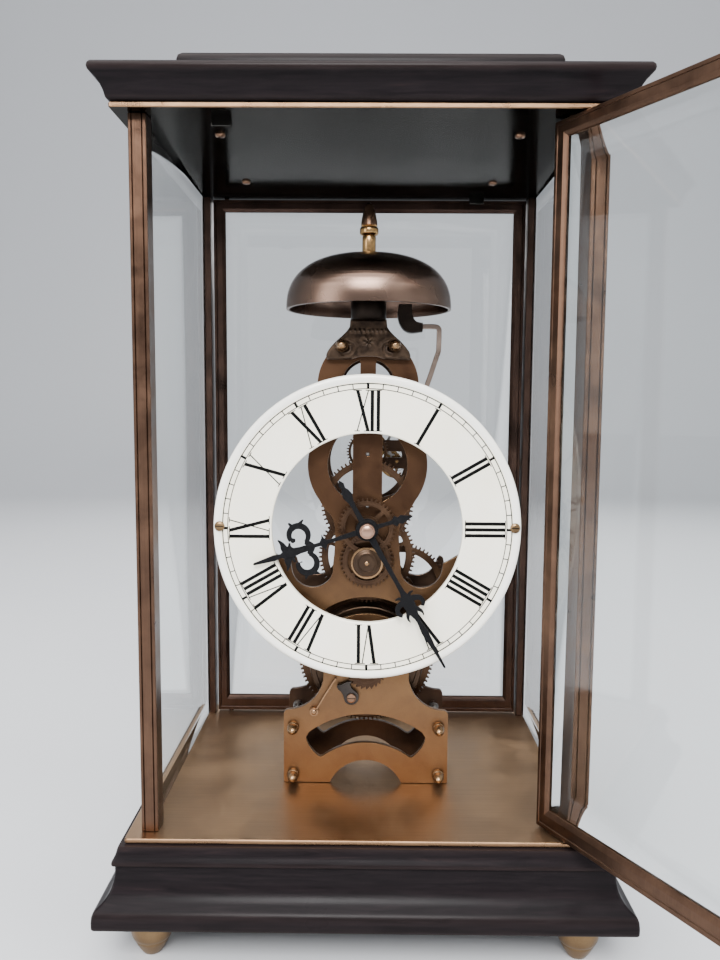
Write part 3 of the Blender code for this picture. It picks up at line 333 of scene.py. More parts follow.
def smooth(points, steps=4, sharp=()):
    """A finer line through the points; the ones listed as sharp stay corners."""
    out = []
    last = len(points) - 1
    for i in range(last):
        p0 = points[i] if i == 0 or i in sharp else points[i - 1]
        p3 = points[i + 1] if i + 1 == last or i + 1 in sharp else points[i + 2]
        p1, p2 = points[i], points[i + 1]
        for k in range(steps):
            t = k / steps
            out.append(tuple(0.5 * (2 * b + (c - a) * t + (2 * a - 5 * b + 4 * c - d) * t * t
                                    + (3 * b - a - 3 * c + d) * t ** 3)
                             for a, b, c, d in zip(p0, p1, p2, p3)))
    out.append(points[-1])
    return out


def bevel(bm, width, segments=2, angle=40):
    """Round every edge that is sharper than the angle."""
    bmesh.ops.recalc_face_normals(bm, faces=bm.faces)
    edges = [e for e in bm.edges if len(e.link_faces) == 2
             and e.calc_face_angle(0) > radians(angle)]
    bmesh.ops.bevel(bm, geom=edges, offset=width, segments=segments, profile=0.5, affect="EDGES",
                    clamp_overlap=True)
    return bm


def prism(outline, low, high, holes=(), axis="Y", soft=0, segments=2):
    """A plate: an outline with holes, extruded along Y (points are X, Z) or along Z (X, Y)."""
    bm = bmesh.new()
    for loop in (outline, *holes):
        verts = [bm.verts.new((a, low, b) if axis == "Y" else (a, b, low)) for a, b in loop]
        for i, vert in enumerate(verts):
            bm.edges.new((vert, verts[(i + 1) % len(verts)]))
    bmesh.ops.triangle_fill(bm, edges=bm.edges[:], use_beauty=True, use_dissolve=False)
    caps = list(bm.faces)
    lift = (0, high - low, 0) if axis == "Y" else (0, 0, high - low)
    made = bmesh.ops.extrude_face_region(bm, geom=caps)
    verts = [item for item in made["geom"] if isinstance(item, bmesh.types.BMVert)]
    bmesh.ops.translate(bm, verts=verts, vec=lift)
    if soft:
        bmesh.ops.recalc_face_normals(bm, faces=bm.faces)
        edges = [e for e in bm.edges if len(e.link_faces) == 2
                 and e.calc_face_angle(0) > radians(60)
                 and abs(e.verts[0].co[1 if axis == "Y" else 2]
                         - e.verts[1].co[1 if axis == "Y" else 2]) < 1e-6]
        bmesh.ops.bevel(bm, geom=edges, offset=soft, segments=segments, profile=0.5, affect="EDGES",
                        clamp_overlap=True)
    return bm


def box(x0, x1, y0, y1, z0, z1, soft=0.4):
    bm = prism([(x0, y0), (x1, y0), (x1, y1), (x0, y1)], z0, z1, axis="Z")
    return bevel(bm, soft) if soft else bm


def on_axis(axis, a, b, height):
    return {"X": (height, a, b), "Y": (a, height, b), "Z": (a, b, height)}[axis]


def turned(profile, centre, axis, steps=48, closed=False):
    """Revolve (radius, height) points about an axis through centre; closed makes a ring."""
    bm = bmesh.new()
    rings = []
    for radius, height in profile:
        ring = []
        for i in range(steps if radius > 0 else 1):
            angle = TAU * i / steps
            a, b = centre[0] + radius * cos(angle), centre[1] + radius * sin(angle)
            ring.append(bm.verts.new(on_axis(axis, a, b, height)))
        rings.append(ring)
    pairs = list(zip(rings, rings[1:]))
    if closed:
        pairs.append((rings[-1], rings[0]))
    for one, two in pairs:
        for i in range(steps):
            quad = [one[i % len(one)], one[(i + 1) % len(one)], two[(i + 1) % len(two)],
                    two[i % len(two)]]
            corners = list(dict.fromkeys(quad))
            if len(corners) > 2:
                bm.faces.new(corners)
    return bm


def rod(centre, radius, low, high, axis="Y", steps=32, soft=0.15):
    profile = [(0, low), (radius - soft, low), (radius, low + soft), (radius, high - soft),
               (radius - soft, high), (0, high)]
    return turned(profile, centre, axis, steps)


def rings_loft(rings, axis, closed=False, radius=0, corner=3):
    """Loft rounded rectangles: each ring is (low_a, high_a, low_b, high_b, height)."""
    bm = bmesh.new()
    loops = []
    for a0, a1, b0, b1, height in rings:
        corners = []
        for ca, cb, sa, sb, start in ((a1, b1, -1, -1, 0), (a0, b1, 1, -1, 90), (a0, b0, 1, 1, 180),
                                      (a1, b0, -1, 1, 270)):
            if radius:
                centre = (ca + sa * radius, cb + sb * radius)
                corners += arc(*centre, radius, start, start + 90, corner)
            else:
                corners.append((ca, cb))
        loops.append([bm.verts.new(on_axis(axis, a, b, height)) for a, b in corners])
    pairs = list(zip(loops, loops[1:]))
    if closed:
        pairs.append((loops[-1], loops[0]))
    else:
        bm.faces.new(loops[0])
        bm.faces.new(loops[-1])
    for one, two in pairs:
        for i in range(len(one)):
            j = (i + 1) % len(one)
            bm.faces.new((one[i], one[j], two[j], two[i]))
    return bm


def ribbon(path, widths):
    """An outline along a path, with a half width at each of its points."""
    if isinstance(widths, (int, float)):
        widths = [widths] * len(path)
    left, right = [], []
    for i, (x, z) in enumerate(path):
        before, after = path[max(i - 1, 0)], path[min(i + 1, len(path) - 1)]
        along = Vector((after[0] - before[0], after[1] - before[1])).normalized()
        left.append((x - along.y * widths[i], z + along.x * widths[i]))
        right.append((x + along.y * widths[i], z - along.x * widths[i]))
    return left + right[::-1]


def spiral(centre, inner, outer, turns, half, steps):
    """The outline of a strip wound into a flat coil."""
    count = int(turns * steps)
    path = []
    for i in range(count + 1):
        angle = TAU * i / steps
        radius = inner + (outer - inner) * i / count
        path.append(polar(centre, radius, angle))
    return ribbon(path, half)


def two_tone(obj, finish, is_second):
    """Give the faces that pass the test a second finish."""
    obj.data.materials.append(MATERIALS[finish])
    for face in obj.data.polygons:
        face.material_index = int(is_second(face))


def reach(face):
    """How far, in millimetres, a face's centre is from an axis along Y."""
    return hypot(face.center.x, face.center.z) / MM


def merged(*parts):
    """One bmesh with every part's faces."""
    whole = bmesh.new()
    for part in parts:
        mesh = bpy.data.meshes.new("part")
        part.to_mesh(mesh)
        part.free()
        whole.from_mesh(mesh)
        bpy.data.meshes.remove(mesh)
    return whole


def piece(name, bm, finish, node=None, body=None, pivot=(0, 0, 0), world=None, angle=38, slot=None,
          edge=None):
    """Place a finished shape, hang it on its body and let it stand for its CAD node.

    A pivot of two numbers is a spot in the front view, for what turns about an axis along Y;
    edge names a brighter finish for the sloping faces along a flat plate's rim.
    """
    if len(pivot) == 2:
        pivot = (pivot[0], 0, pivot[1])
    bmesh.ops.recalc_face_normals(bm, faces=bm.faces)
    bmesh.ops.translate(bm, verts=bm.verts, vec=-Vector(pivot))
    bmesh.ops.scale(bm, verts=bm.verts, vec=(MM, MM, MM))
    mesh = bpy.data.meshes.new(name)
    bm.to_mesh(mesh)
    bm.free()
    mesh.shade_smooth()
    mesh.set_sharp_from_angle(angle=radians(angle))
    for face in mesh.polygons:
        if max(abs(c) for c in face.normal) > 0.99999:
            face.use_smooth = False
    mesh.materials.append(MATERIALS[finish])
    obj = bpy.data.objects.new(name, mesh)
    if edge:
        two_tone(obj, edge, lambda face: 0.2 < abs(face.normal.y) < 0.99)
    bpy.context.scene.collection.objects.link(obj)
    obj.matrix_world = (world or Matrix()) @ Matrix.Translation(Vector(pivot) * MM)
    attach(obj, body or BODY_OF[node])
    if node and slot is None:
        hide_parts(node)
    return obj


# ---------------------------------------------------------------- case
BASE_LINE = [(17, 0), (17.35, 0.5), (17.4, 1.6), (17.4, 3.4), (17.2, 5.6), (16.6, 7.3), (15.4, 8.4),
             (13.8, 9.5), (12.4, 11), (11.3, 12.8), (10.5, 14.6), (9.9, 16.8), (9.5, 19), (9.3, 21),
             (9.3, 23.6), (9.5, 24), (10.3, 24.2), (10.5, 24.6), (10.5, 25.4), (10.2, 26.2),
             (9.5, 27.4), (8.9, 28.8), (8.5, 30.4), (8, 31.7)]
CORNICE_LINE = [(5.3, 334.4), (6.2, 334.8), (6.9, 335.6), (7.2, 336.8), (7.6, 338.2), (8.4, 340),
                (9.6, 341.8), (11, 343.2), (12, 344.2), (12.3, 345.2), (12.1, 346.4), (11.5, 347.2),
                (10.7, 347.5)]
FOOT_LINE = [(0, -0.3), (6.8, -0.3), (7.2, -0.7), (7.3, -2.4), (6.6, -3.1), (6.6, -3.6),
             (8.2, -4.2), (9, -5.4), (9.3, -7.6), (9.25, -10.4), (8.9, -12.6), (8.2, -14.2),
             (7.6, -14.6), (7.6, -15.1), (7.2, -16), (6, -18.4), (4.9, -20.2), (4.2, -21.2),
             (3.8, -21.5), (0, -21.5)]


def case_rings(line):
    return [(-HALF_W - o, HALF_W + o, -HALF_D - o, HALF_D + o, z) for o, z in line]


def wooden_parts():
    piece("base_wood", rings_loft(case_rings(BASE_LINE), "Z", radius=1.1), "wood", "base")
    rings = case_rings(CORNICE_LINE)
    top = CORNICE_LINE[-1][1]
    px, py = 79.5, 60
    for inset, rise in ((-0.6, 0), (0, 0.6), (0.2, 9.8), (0.7, 11.6), (1.7, 12.5), (2.6, 12.7)):
        rings.append((-px + inset, px - inset, -py + inset, py - inset, top + rise))
    piece("cornice_wood", rings_loft(rings, "Z", radius=1.1), "wood", "cornice")


def feet():
    for y_name, sy in (("front", -1), ("rear", 1)):
        for x_name, sx in (("left", -1), ("right", 1)):
            spot = (sx * 93, sy * 69)
            name = f"foot_{y_name}_{x_name}"
            shape = turned(FOOT_LINE, spot, "Z", 64)
            piece(f"{name}_turned", shape, "brass_dull", name, pivot=(*spot, -10))


def screw_head(centre, y, radius=2, depth=0.9, axis="Y", facing=-1):
    """A domed screw head whose seat lies at y; facing is the way its dome points."""
    shape = [(0, 0), (1, 0), (1, 0.45), (0.86, 0.8), (0.5, 1)]
    line = [(radius * across, y + facing * depth * rise) for across, rise in shape]
    return turned([*line, (0.16, line[-1][1]), (0, line[-1][1])], centre, axis, 28)


def is_plate_rim(face):
    outer = abs(face.center.x) > 0.1 or abs(face.center.y) > 0.077
    return outer and abs(face.normal.z) < 0.8


def plates():
    for name, low, finish in (("floor_plate", 32, "floor"), ("ceiling_plate", 332, "ceiling")):
        rings = [(-102 + i, 102 - i, -78 + i, 78 - i, low + h)
                 for i, h in ((0.35, 0), (0, 0.35), (0, 1.65), (0.35, 2))]
        shape = rings_loft(rings, "Z", radius=1.2)
        if name == "ceiling_plate":
            stops = [box(s * 60 - 4, s * 60 + 4, *sorted((s * 66.2, s * 63.2)), low - 3.4,
                         low + 0.5, 0.3) for s in (-1, 1)]
            shape = merged(shape, *stops)
        two_tone(piece(f"{name}_sheet", shape, finish, name), "edge_copper", is_plate_rim)
    heads = [screw_head((x, y), CEIL_Z, 2.2, 1.3, "Z") for x in (-64, 64) for y in (-45, 31)]
    piece("ceiling_screws", merged(*heads), "copper", body="case", slot="bronze")


def post_section():
    """The grooved corner post in plan: distances in from its outer faces."""
    front = [(0.25, 0), (1.1, 0), (1.4, 0.45), (1.7, 0), (5.3, 0), (5.6, 0.45), (5.9, 0), (6.95, 0),
             (7.2, 0.25)]
    back = [(7.2, 8.75), (6.95, 9), (3.7, 9), (3.7, 4.8), (0.7, 4.8), (0.7, 9), (0.1, 9)]
    side = [(0, 8.9), (0, 7), (0.4, 6.7), (0, 6.4), (0, 2.6), (0.4, 2.3), (0, 2), (0, 0.25)]
    return front + back + side


def posts():
    for y_name, sy in (("front", -1), ("rear", 1)):
        for x_name, sx in (("left", -1), ("right", 1)):
            outline = [(sx * (HALF_W - a), sy * (HALF_D - b)) for a, b in post_section()]
            shape = prism(outline, FLOOR_Z + 0.3, CEIL_Z - 0.3, axis="Z")
            name = f"post_{y_name}_{x_name}"
            piece(f"{name}_bar", shape, "post" if sy < 0 else "dark_frame", name, angle=25)


def pane(a0, a1, b0, b1, low, high, border, axis):
    """A bevelled pane: flat at the back, its border sloping on the outer side."""
    edge, middle = [low + (high - low) * share for share in (0.06, 0.45)]
    rings = [(a0 + 0.1, a1 - 0.1, b0 + 0.1, b1 - 0.1, low), (a0, a1, b0, b1, edge),
             (a0, a1, b0, b1, middle),
             (a0 + border, a1 - border, b0 + border, b1 - border, high)]
    return rings_loft(rings, axis)


def side_glasses():
    for name, sx in (("side_glass_left", -1), ("side_glass_right", 1)):
        shape = pane(-66.9, 66.9, FLOOR_Z + 0.3, CEIL_Z - 0.3, sx * 92.6, sx * 95, 9, "X")
        piece(f"{name}_pane", shape, "glass", name, angle=4)


def door(prefix, pivot, turn, finish):
    """One framed door, built closed around its hinge axis."""
    world = Matrix.Translation(Vector((*pivot, 0)) * MM) @ Matrix.Rotation(turn, 4, "Z")
    low, high = FLOOR_Z + 1, CEIL_Z - 0.8
    left, right = -88.2 - HINGE[0], 7.3
    stile, rail_low = 6.8, 9
    a0, a1, b0, b1 = left + stile, right - stile, low + rail_low, high - stile

    def rect(share, y):
        outer, inner = (left, right, low, high), (a0, a1, b0, b1)
        return (*[o + (i - o) * share for o, i in zip(outer, inner)], y)

    side = [(0.03, -2.5), (0.2, -2.5), (0.24, -2.2), (0.28, -2.5), (0.72, -2.5), (0.8, -2.3),
            (0.97, -1.6), (1, -1.25), (0.55, -1.25)]
    section = [*side, *[(s, -y) for s, y in reversed(side)], (0, 2.3), (0, -2.3)]
    bars = rings_loft([rect(s, y) for s, y in section], "Y", closed=True)
    pins = [rod((0, 0), 1.3, low - 2.4, low + 2, "Z"), rod((0, 0), 1.3, high - 2, high + 2.2, "Z")]
    piece(f"{prefix}_bars", merged(bars, *pins), finish, f"{prefix}_frame", world=world, angle=25)
    c0, c1, d0, d1, _ = rect(0.6, 0)
    shape = pane(c0, c1, d0, d1, 1.1, -1.1, 15, "Y")
    piece(f"{prefix}_pane", shape, "glass", f"{prefix}_glass", world=world, angle=4)
    f = -2.8
    line = [(0, f), (2.6, f), (2.7, f - 0.3), (2.4, f - 0.9), (1.6, f - 1.5), (1.4, f - 2.4),
            (1.7, f - 3.4), (2.9, f - 4.3), (3.7, f - 5.6), (3.9, f - 6.7), (3.4, f - 7.8),
            (2.4, f - 8.6), (1.1, f - 9), (0, f - 9)]
    knob = turned(line, (left + stile / 2, 183), "Y", 40)
    piece(f"{prefix}_pull", knob, "brass", f"{prefix}_knob", world=world)


# ---------------------------------------------------------------- movement plates
def mirrored(half):
    return list(half) + [(-x, z) for x, z in reversed(half) if abs(x) > 1e-6]


def plate_outline(arms):
    """The movement plate's edge: dome, ring, waist, notches and splayed foot."""
    half = arc(0, 226, 23.5, 90, 5, 24) + smooth([(23.7, 221), (24, 214), (23.75, 203.8)], 4)[:-1]
    half += arc(0, 189, 28, 32, -36, 26)
    half += smooth([(20.6, 168.8), (17.2, 165.4), (15.3, 160), (15.2, 151), (16, 142)], 5)
    half += arc(25.8, 140.5, 10, 195, 350, 30)
    if arms:
        half += smooth([(36.2, 142.6), (38.6, 143.6), (46, 148.2), (57, 155)], 4)
        half += arc(*ARM_PAD, 4.6, 150, -60, 18)
        half += smooth([(58, 147.5), (48, 139), (39.5, 129), (32, 120), (25.5, 110), (21.6, 99),
                        (20.5, 91)], 4)
    else:
        half += smooth([(37, 140.6), (38.8, 139.6), (39.2, 136), (37.6, 130), (32, 120),
                        (25.5, 110), (21.6, 99), (20.5, 91)], 4)
    half += arc(38, 88, 17.6, 183, 268, 20)
    half += arc(37.4, 68.2, 2.2, 80, 0, 8)
    half += [(39.6, FLOOR_Z + 0.3)]
    half += arc(0, 26.7, 18.9, 23.8, 90, 20)
    half[0], half[-1] = (0, half[0][1]), (0, half[-1][1])
    return mirrored(half)


def plate_windows(rear):
    upper = arc(0, 23, 45.6, 53, 127, 30)
    lower = arc(0, 20.1, 34.2, 127, 53, 26)
    left = smooth([(-28.9, 56.8), (-28.4, 54.6), (-26.6, 51.2), (-23.6, 47.9), (-22, 46.9)], 3)
    kidney = upper + left + lower + [(-x, z) for x, z in reversed(left)]
    barrel = arc(*GREAT, 34.8, 55, 125, 30) + arc(*GREAT, 26.6, 125, 55, 26)
    ring = arc(0, 189, 18.7, -68.4, 68.4, 34)
    dome = arc(0, 226, 12.4, -18, 73, 14) + [(3.6, 222.2)]
    windows = [kidney, barrel, [(-x, z) for x, z in ring], dome, [(-x, z) for x, z in dome]]
    if not rear:
        return windows + [ring]
    seat_low, seat_high = BALANCE[1] - 3.4, PALLET[1] + 3.4
    low = degrees(asin((seat_low - 189) / 18.7))
    high = degrees(asin((seat_high - 189) / 18.7))
    windows.append(arc(0, 189, 18.7, -68.4, low, 16) + [(6.9, seat_low)])
    windows.append(arc(0, 189, 18.7, high, 68.4, 8) + [(6.9, seat_high)])
    middle = [degrees(asin((z - 189) / 18.7)) for z in (190.6, 193.9)]
    windows.append(arc(0, 189, 17.6, *middle, 6) + [(6.9, 193.9), (6.9, 190.6)])
    return windows


def holes(pairs):
    return [circle(*centre, radius, 28) for centre, radius in pairs]


def movement_plates():
    both = [(GREAT, 3.3), (INTER, 1), (THIRD, 1), (FOURTH, 1), (HAMMER, 1.3)]
    both += [((sx * x, z), 1.5) for x, z in (*PILLARS.values(), BOLT) for sx in (-1, 1)]
    front = both + [(CENTRE, 2.3), (ESCAPE, 1), (CLICK, 1.5)]
    front += [((sx * ARM_PAD[0], ARM_PAD[1]), 1.3) for sx in (-1, 1)]
    shape = prism(plate_outline(True), *FRONT_Y, plate_windows(False) + holes(front), soft=0.35)
    post = rod(HANDS, 1.1, -39.6, FRONT_Y[1] - 0.6)
    piece("front_plate_cast", merged(shape, post), "plate", "front_plate", edge="plate_edge")
    rear = both + [(CENTRE, 1), (ESCAPE, 1.3), (PALLET, 0.9), (BALANCE, 0.9)]
    shape = prism(plate_outline(False), *REAR_Y, plate_windows(True) + holes(rear), soft=0.35)
    # The rear plate takes the darker copy of the plate metal, which is painted shade.
    piece("rear_plate_cast", shape, "plate_painted_shade", "rear_plate", edge="copper")


def acorn(seat):
    """A bullet-shaped nut that points to the front."""
    return [(0, seat), (2.6, seat), (2.9, seat - 0.3), (2.95, seat - 1.2), (2.7, seat - 2),
            (2.35, seat - 2.4), (2.35, seat - 2.8), (2.65, seat - 3.3), (2.6, seat - 4.2),
            (2.25, seat - 5.4), (1.75, seat - 6.4), (1.2, seat - 7.2), (0.6, seat - 7.6),
            (0, seat - 7.7)]


def pillars():
    a, b = FRONT_Y[1] + 0.3, REAR_Y[0] - 0.3
    collar = [(2.2, 0), (2.4, 0.2), (2.4, 2.8), (2.1, 3.2), (2.2, 3.8), (1.9, 4.4)]
    for level, (x, z) in PILLARS.items():
        for side, sx in (("left", -1), ("right", 1)):
            spot = (sx * x, z)
            line = [(0, -24.2), (1.2, -24.2), (1.2, a), *[(r, a + d) for r, d in collar],
                    (1.8, (a + b) / 2), *[(r, b - d) for r, d in reversed(collar)], (1.2, b),
                    (1.2, 8.7), (1, 8.9), (0, 8.9)]
            piece(f"pillar_{level}_{side}_turned", turned(line, spot, "Y", 32), "steel",
                  f"pillar_{level}_{side}")
            piece(f"nut_{level}_{side}_acorn", turned(acorn(-24.9), spot, "Y", 40), "boss",
                  f"nut_{level}_{side}")
    seat = -28.8
    for side, sx in (("left", -1), ("right", 1)):
        line = [(0, 8.9), (1, 8.9), (1.2, 8.7), (1.2, b), (2.2, b), (2.2, a), (1.2, a), (1.2, seat),
                *acorn(seat)[1:]]
        piece(f"bracket_bolt_{side}_turned", turned(line, (sx * BOLT[0], BOLT[1]), "Y", 40),
              "boss", f"bracket_bolt_{side}")


# ---------------------------------------------------------------- bell
def relief(x, z):
    """Height of the cast ornament on the bell bracket: scrolls, beads and a centre flower."""
    from_middle = hypot(x, z - 245.4)
    angle = atan2(z - 245.4, x)
    flower = max(0, 1 - from_middle / 4.6) * (0.65 + 0.35 * cos(6 * angle))
    side = abs(x) - 9.6
    away = hypot(side, z - 243)
    turn = atan2(z - 243, side)
    scroll = 0.5 + 0.5 * cos(away * 2.4 - turn)
    scroll *= max(0, 1 - away / 5.6)
    beads = 0.5 + 0.5 * cos(x * 3.1)
    beads *= max(0, 1 - abs(z - 250.6) / 1.3)
    return 0.95 * flower + 0.85 * scroll + 0.45 * beads


def bracket_half_width(z):
    line = [(237.8, 19), (239.6, 19.4), (241.4, 18.8), (243.6, 17.2), (246, 15), (248.4, 12.2),
            (250.6, 10), (252.6, 8.6), (256, 8.3)]
    for (z0, w0), (z1, w1) in zip(line, line[1:]):
        if z <= z1:
            return w0 + (w1 - w0) * (z - z0) / (z1 - z0)
    return line[-1][1]


def relief_plate(front, back, columns=110, rows=56):
    """The bracket's flared face as a grid whose front carries the ornament."""
    bm = bmesh.new()
    sheets = []
    for is_front in (True, False):
        grid = []
        for j in range(rows + 1):
            z = 237.8 + 18.2 * j / rows
            half = bracket_half_width(z)
            row = []
            for i in range(columns + 1):
                x = half * (2 * i / columns - 1)
                foot = 1.5 * exp(-(x / 6.5) ** 4) * (1 - j / rows) ** 3
                edge = min(1, (half - abs(x)) / 1.2, (z + foot - 237.8) / 0.9, (256 - z) / 0.8)
                clear = 1
                for sx in (-1, 1):
                    away = hypot(x - sx * BOLT[0], z - BOLT[1])
                    clear = min(clear, max(0, min(1, (away - 2.9) / 0.8)))
                y = back
                if is_front:
                    rise = sqrt(max(0, edge))
                    y = front + 1 - 0.55 * rise - relief(x, z) * clear * rise * 1.3
                row.append(bm.verts.new((x, y, z + foot)))
            grid.append(row)
        sheets.append(grid)
    for grid in sheets:
        for j in range(rows):
            for i in range(columns):
                bm.faces.new((grid[j][i], grid[j][i + 1], grid[j + 1][i + 1], grid[j + 1][i]))
    one, two = sheets
    border = [(0, i) for i in range(columns)] + [(j, columns) for j in range(rows)]
    border += [(rows, columns - i) for i in range(columns)] + [(rows - j, 0) for j in range(rows)]
    for k, (j, i) in enumerate(border):
        jj, ii = border[(k + 1) % len(border)]
        bm.faces.new((one[j][i], one[jj][ii], two[jj][ii], two[j][i]))
    return bm


def bell_line():
    """The bell's half section: steep sides rounding over into the crown, outside then inside."""
    turns = [radians(2 * i) for i in range(1, 45)]
    shape = [(cos(a) ** BELL_ROUND, sin(a) ** BELL_ROUND) for a in turns]
    outer, inner = [[(radius * c, BELL_RIM + height * s) for c, s in shape] for radius,
                    height in ((38.6, 25.7), (37, 24.1))]
    return [(38.3, BELL_RIM), (38.55, BELL_RIM + 0.1), *outer, (2.4, 286.9), (2.4, 285.3),
            *reversed(inner), (37.2, BELL_RIM)]


def bell_parts():
    slab = relief_plate(-28.5, -24.9)
    piece("bell_bracket_relief", slab, "bracket", "bell_bracket", angle=60)
    bridge = box(-8.2, 8.2, -26, BELL_Y, 250.4, 255.8, 0.6)
    line = [(0, 250.6), (7.9, 250.6), (8.3, 251), (8.3, 254.4), (8, 254.8), (8, 255.4),
            (8.3, 255.8), (8.3, 264.6), (7.9, 265.6), (6.6, 267.4), (6, 270), (5.4, 278),
            (5.2, 284.9), (1.6, 285), (1.6, 290.5), (0, 290.9)]
    piece("bell_column", merged(bridge, turned(line, (0, BELL_Y), "Z", 64)), "column", body="case",
          slot="dark_bronze")
    shell = turned(bell_line(), (0, BELL_Y), "Z", 144, closed=True)
    piece("bell_shell", shell, "bell", "bell", pivot=(0, BELL_Y, BELL_RIM), angle=30)
    foot = 287.2
    collar = foot + 8.9
    line = [(2, foot), (3, foot), (3.2, foot + 0.3), (3.2, foot + 7.6), (3, foot + 8.1),
            (3.2, collar - 0.6), (4.1, collar - 0.1), (4.4, collar + 0.5), (4.4, collar + 2.5),
            (4.1, collar + 3.1), (3.5, collar + 3.4), (3.9, collar + 4), (3.7, collar + 6),
            (3.1, collar + 9), (2.4, collar + 11.6), (1.7, collar + 13.4), (0.9, collar + 14.2),
            (0, collar + 14.4), (0, foot + 5), (2, foot + 5)]
    finial = piece("bell_finial_turned", turned(line, (0, BELL_Y), "Z", 48, closed=True), "brass",
                   "bell_finial", pivot=(0, BELL_Y, foot))
    two_tone(finial, "copper", lambda face: face.center.z > 0.0126)
    hammer_path = smooth([HAMMER, (24.5, 218.5), (28.4, 228), (31.2, 236.6), (33.1, 242.4),
                          (33.3, 250.2), (32.9, 253.2), (30, 253.9), (24, 253.8)], 5, (0, 4))
    arm = prism(ribbon(hammer_path, 1.15), BELL_Y - 1.2, BELL_Y + 1.2, soft=0.3)
    head = smooth([(14.2, 264), (13.6, 260), (14.2, 256), (16.4, 252.4), (20, 250.8),
                   (25.4, 251.4)], 6)
    head += smooth([(25.4, 255.4), (22.2, 256.2), (20.6, 259), (20.2, 264)], 6, (0,))
    block = prism(head, BELL_Y - 3.4, BELL_Y + 3.4, soft=0.7, segments=3)
    arbor = turned([(0, -24), (1, -24), (1, -21.6), (2.2, -21.6), (2.2, 4.3), (1, 4.3), (1, 6.7),
                    (0, 6.7)], HAMMER, "Y", 28)
    piece("hammer_arm", merged(arm, arbor), "arm", "hammer", pivot=HAMMER)
    piece("hammer_head", block, "column", body="bell_hammer", slot="bronze")


# ---------------------------------------------------------------- dial
def dial_point(radius, angle, across=0):
    """A point on the dial's face; the angle runs clockwise from twelve."""
    c, s = cos(angle), sin(angle)
    return (HANDS[0] + radius * s + across * c, HANDS[1] + radius * c - across * s)


NUMERALS = ["XII", "I", "II", "III", "IIII", "V", "VI", "VII", "VIII", "IX", "X", "XI"]
THICK, THIN = 0.82, 0.27
NUMERAL_IN, NUMERAL_OUT = 45.1, 63.5
SERIF = 0.2 / (NUMERAL_OUT - NUMERAL_IN)
GLYPHS = {"I": (1, 1.75, [((0.5, 1), (0.5, 0), THICK)]),
          "V": (6.5, 0.9, [((0.5, 1), (3.1, 0), THICK), ((6.1, 1), (3.35, 0), THIN)]),
          "X": (5.8, 0.9, [((0.5, 1), (5.3, 0), THICK), ((5.4, 1), (0.4, 0), THIN)])}
FEET = {"I": ((0.5, 1, 1.6), (0.5, 0, 1.6)), "V": ((0.5, 1, 1.9), (6.1, 1, 1.25)),
        "X": ((0.5, 1, 1.9), (5.4, 1, 1.25), (5.3, 0, 1.9), (0.4, 0, 1.25))}


def numeral_strokes(text):
    """Strokes of one numeral as (start, end, half width), centred, height from 0 to 1."""
    strokes, x = [], 0
    for letter in text:
        width, gap, marks = GLYPHS[letter]
        strokes += [((a + x, b), (c + x, d), w) for (a, b), (c, d), w in marks]
        strokes += [((a + x, b + SERIF), (a + x, b - SERIF), half) for a, b, half in FEET[letter]]
        x += width + gap
    middle = (x - gap) / 2
    return [((a - middle, b), (c - middle, d), w) for (a, b), (c, d), w in strokes]


def stroke_outline(angle, start, end, half):
    (a, b), (c, d) = start, end
    ends = []
    for across, share in ((a - half, b), (a + half, b), (c + half, d), (c - half, d)):
        radius = NUMERAL_IN + (NUMERAL_OUT - NUMERAL_IN) * share
        ends.append(dial_point(radius, angle, across))
    return ends


def face_ring(inner, outer, low, high, steps=180):
    return prism(circle(*HANDS, outer, steps), low, high, [circle(*HANDS, inner, steps)])


def dial():
    f, b = DIAL_FRONT, DIAL_BACK
    line = [(44, b), (44, f + 0.7), (44.12, f + 0.28), (44.4, f + 0.06), (44.8, f), (66.9, f),
            (67.3, f - 0.08), (67.9, f - 0.38), (68.7, f - 0.58), (69.5, f - 0.56), (70.2, f - 0.3),
            (70.7, f + 0.2), (70.9, f + 0.9), (70.8, f + 1.7), (70.3, b)]
    ring = piece("dial_enamel", turned(line, HANDS, "Y", 180, closed=True), "enamel", "dial",
                 pivot=HANDS, angle=50)
    two_tone(ring, "rim", lambda face: reach(face) > 67.1)
    low, high = f - 0.045, f + 0.02
    marks = []
    for hour, text in enumerate(NUMERALS):
        for layer, (start, end, half) in enumerate(numeral_strokes(text)):
            outline = stroke_outline(TAU * hour / 12, start, end, half)
            marks.append(prism(outline, low - 0.002 * (layer % 3), high))
    for minute in range(60):
        angle = TAU * minute / 60
        five = minute % 5 == 0
        half, inner, outer = (0.6, 64.1, 66.95) if five else (0.23, 64.3, 66.6)
        outline = [dial_point(r, angle, a) for r, a in ((outer, -half), (outer, half),
                                                        (inner, half), (inner, -half))]
        marks.append(prism(outline, low - 0.004, high))
    marks.append(face_ring(64.05, 64.45, low, high))
    marks.append(face_ring(66.35, 66.85, low, high))
    piece("dial_markings", merged(*marks), "ink", body="case", slot="hand_black",
          pivot=HANDS)
    for side, sx in (("left", -1), ("right", 1)):
        spot = (sx * ARM_PAD[0], ARM_PAD[1])
        head = screw_head(spot, f - 0.62, 2.3, 1.1)
        slot = box(spot[0] - 1.7, spot[0] + 1.7, f - 1.78, f - 1.2, spot[1] - 0.18, spot[1] + 0.18,
                   0)
        stem = turned([(0, f), (1, f), (1, b + 0.3), (2.4, b + 0.3), (2.6, b + 0.6), (2.6, -25.1),
                       (2.4, -24.9), (1, -24.9), (1, -22.4), (0, -22.4)], spot, "Y", 28)
        piece(f"dial_screw_{side}_turned", merged(head, stem), "brass_dull", f"dial_screw_{side}")
        piece(f"dial_screw_{side}_slot", slot, "ink", body="case", slot="bronze")


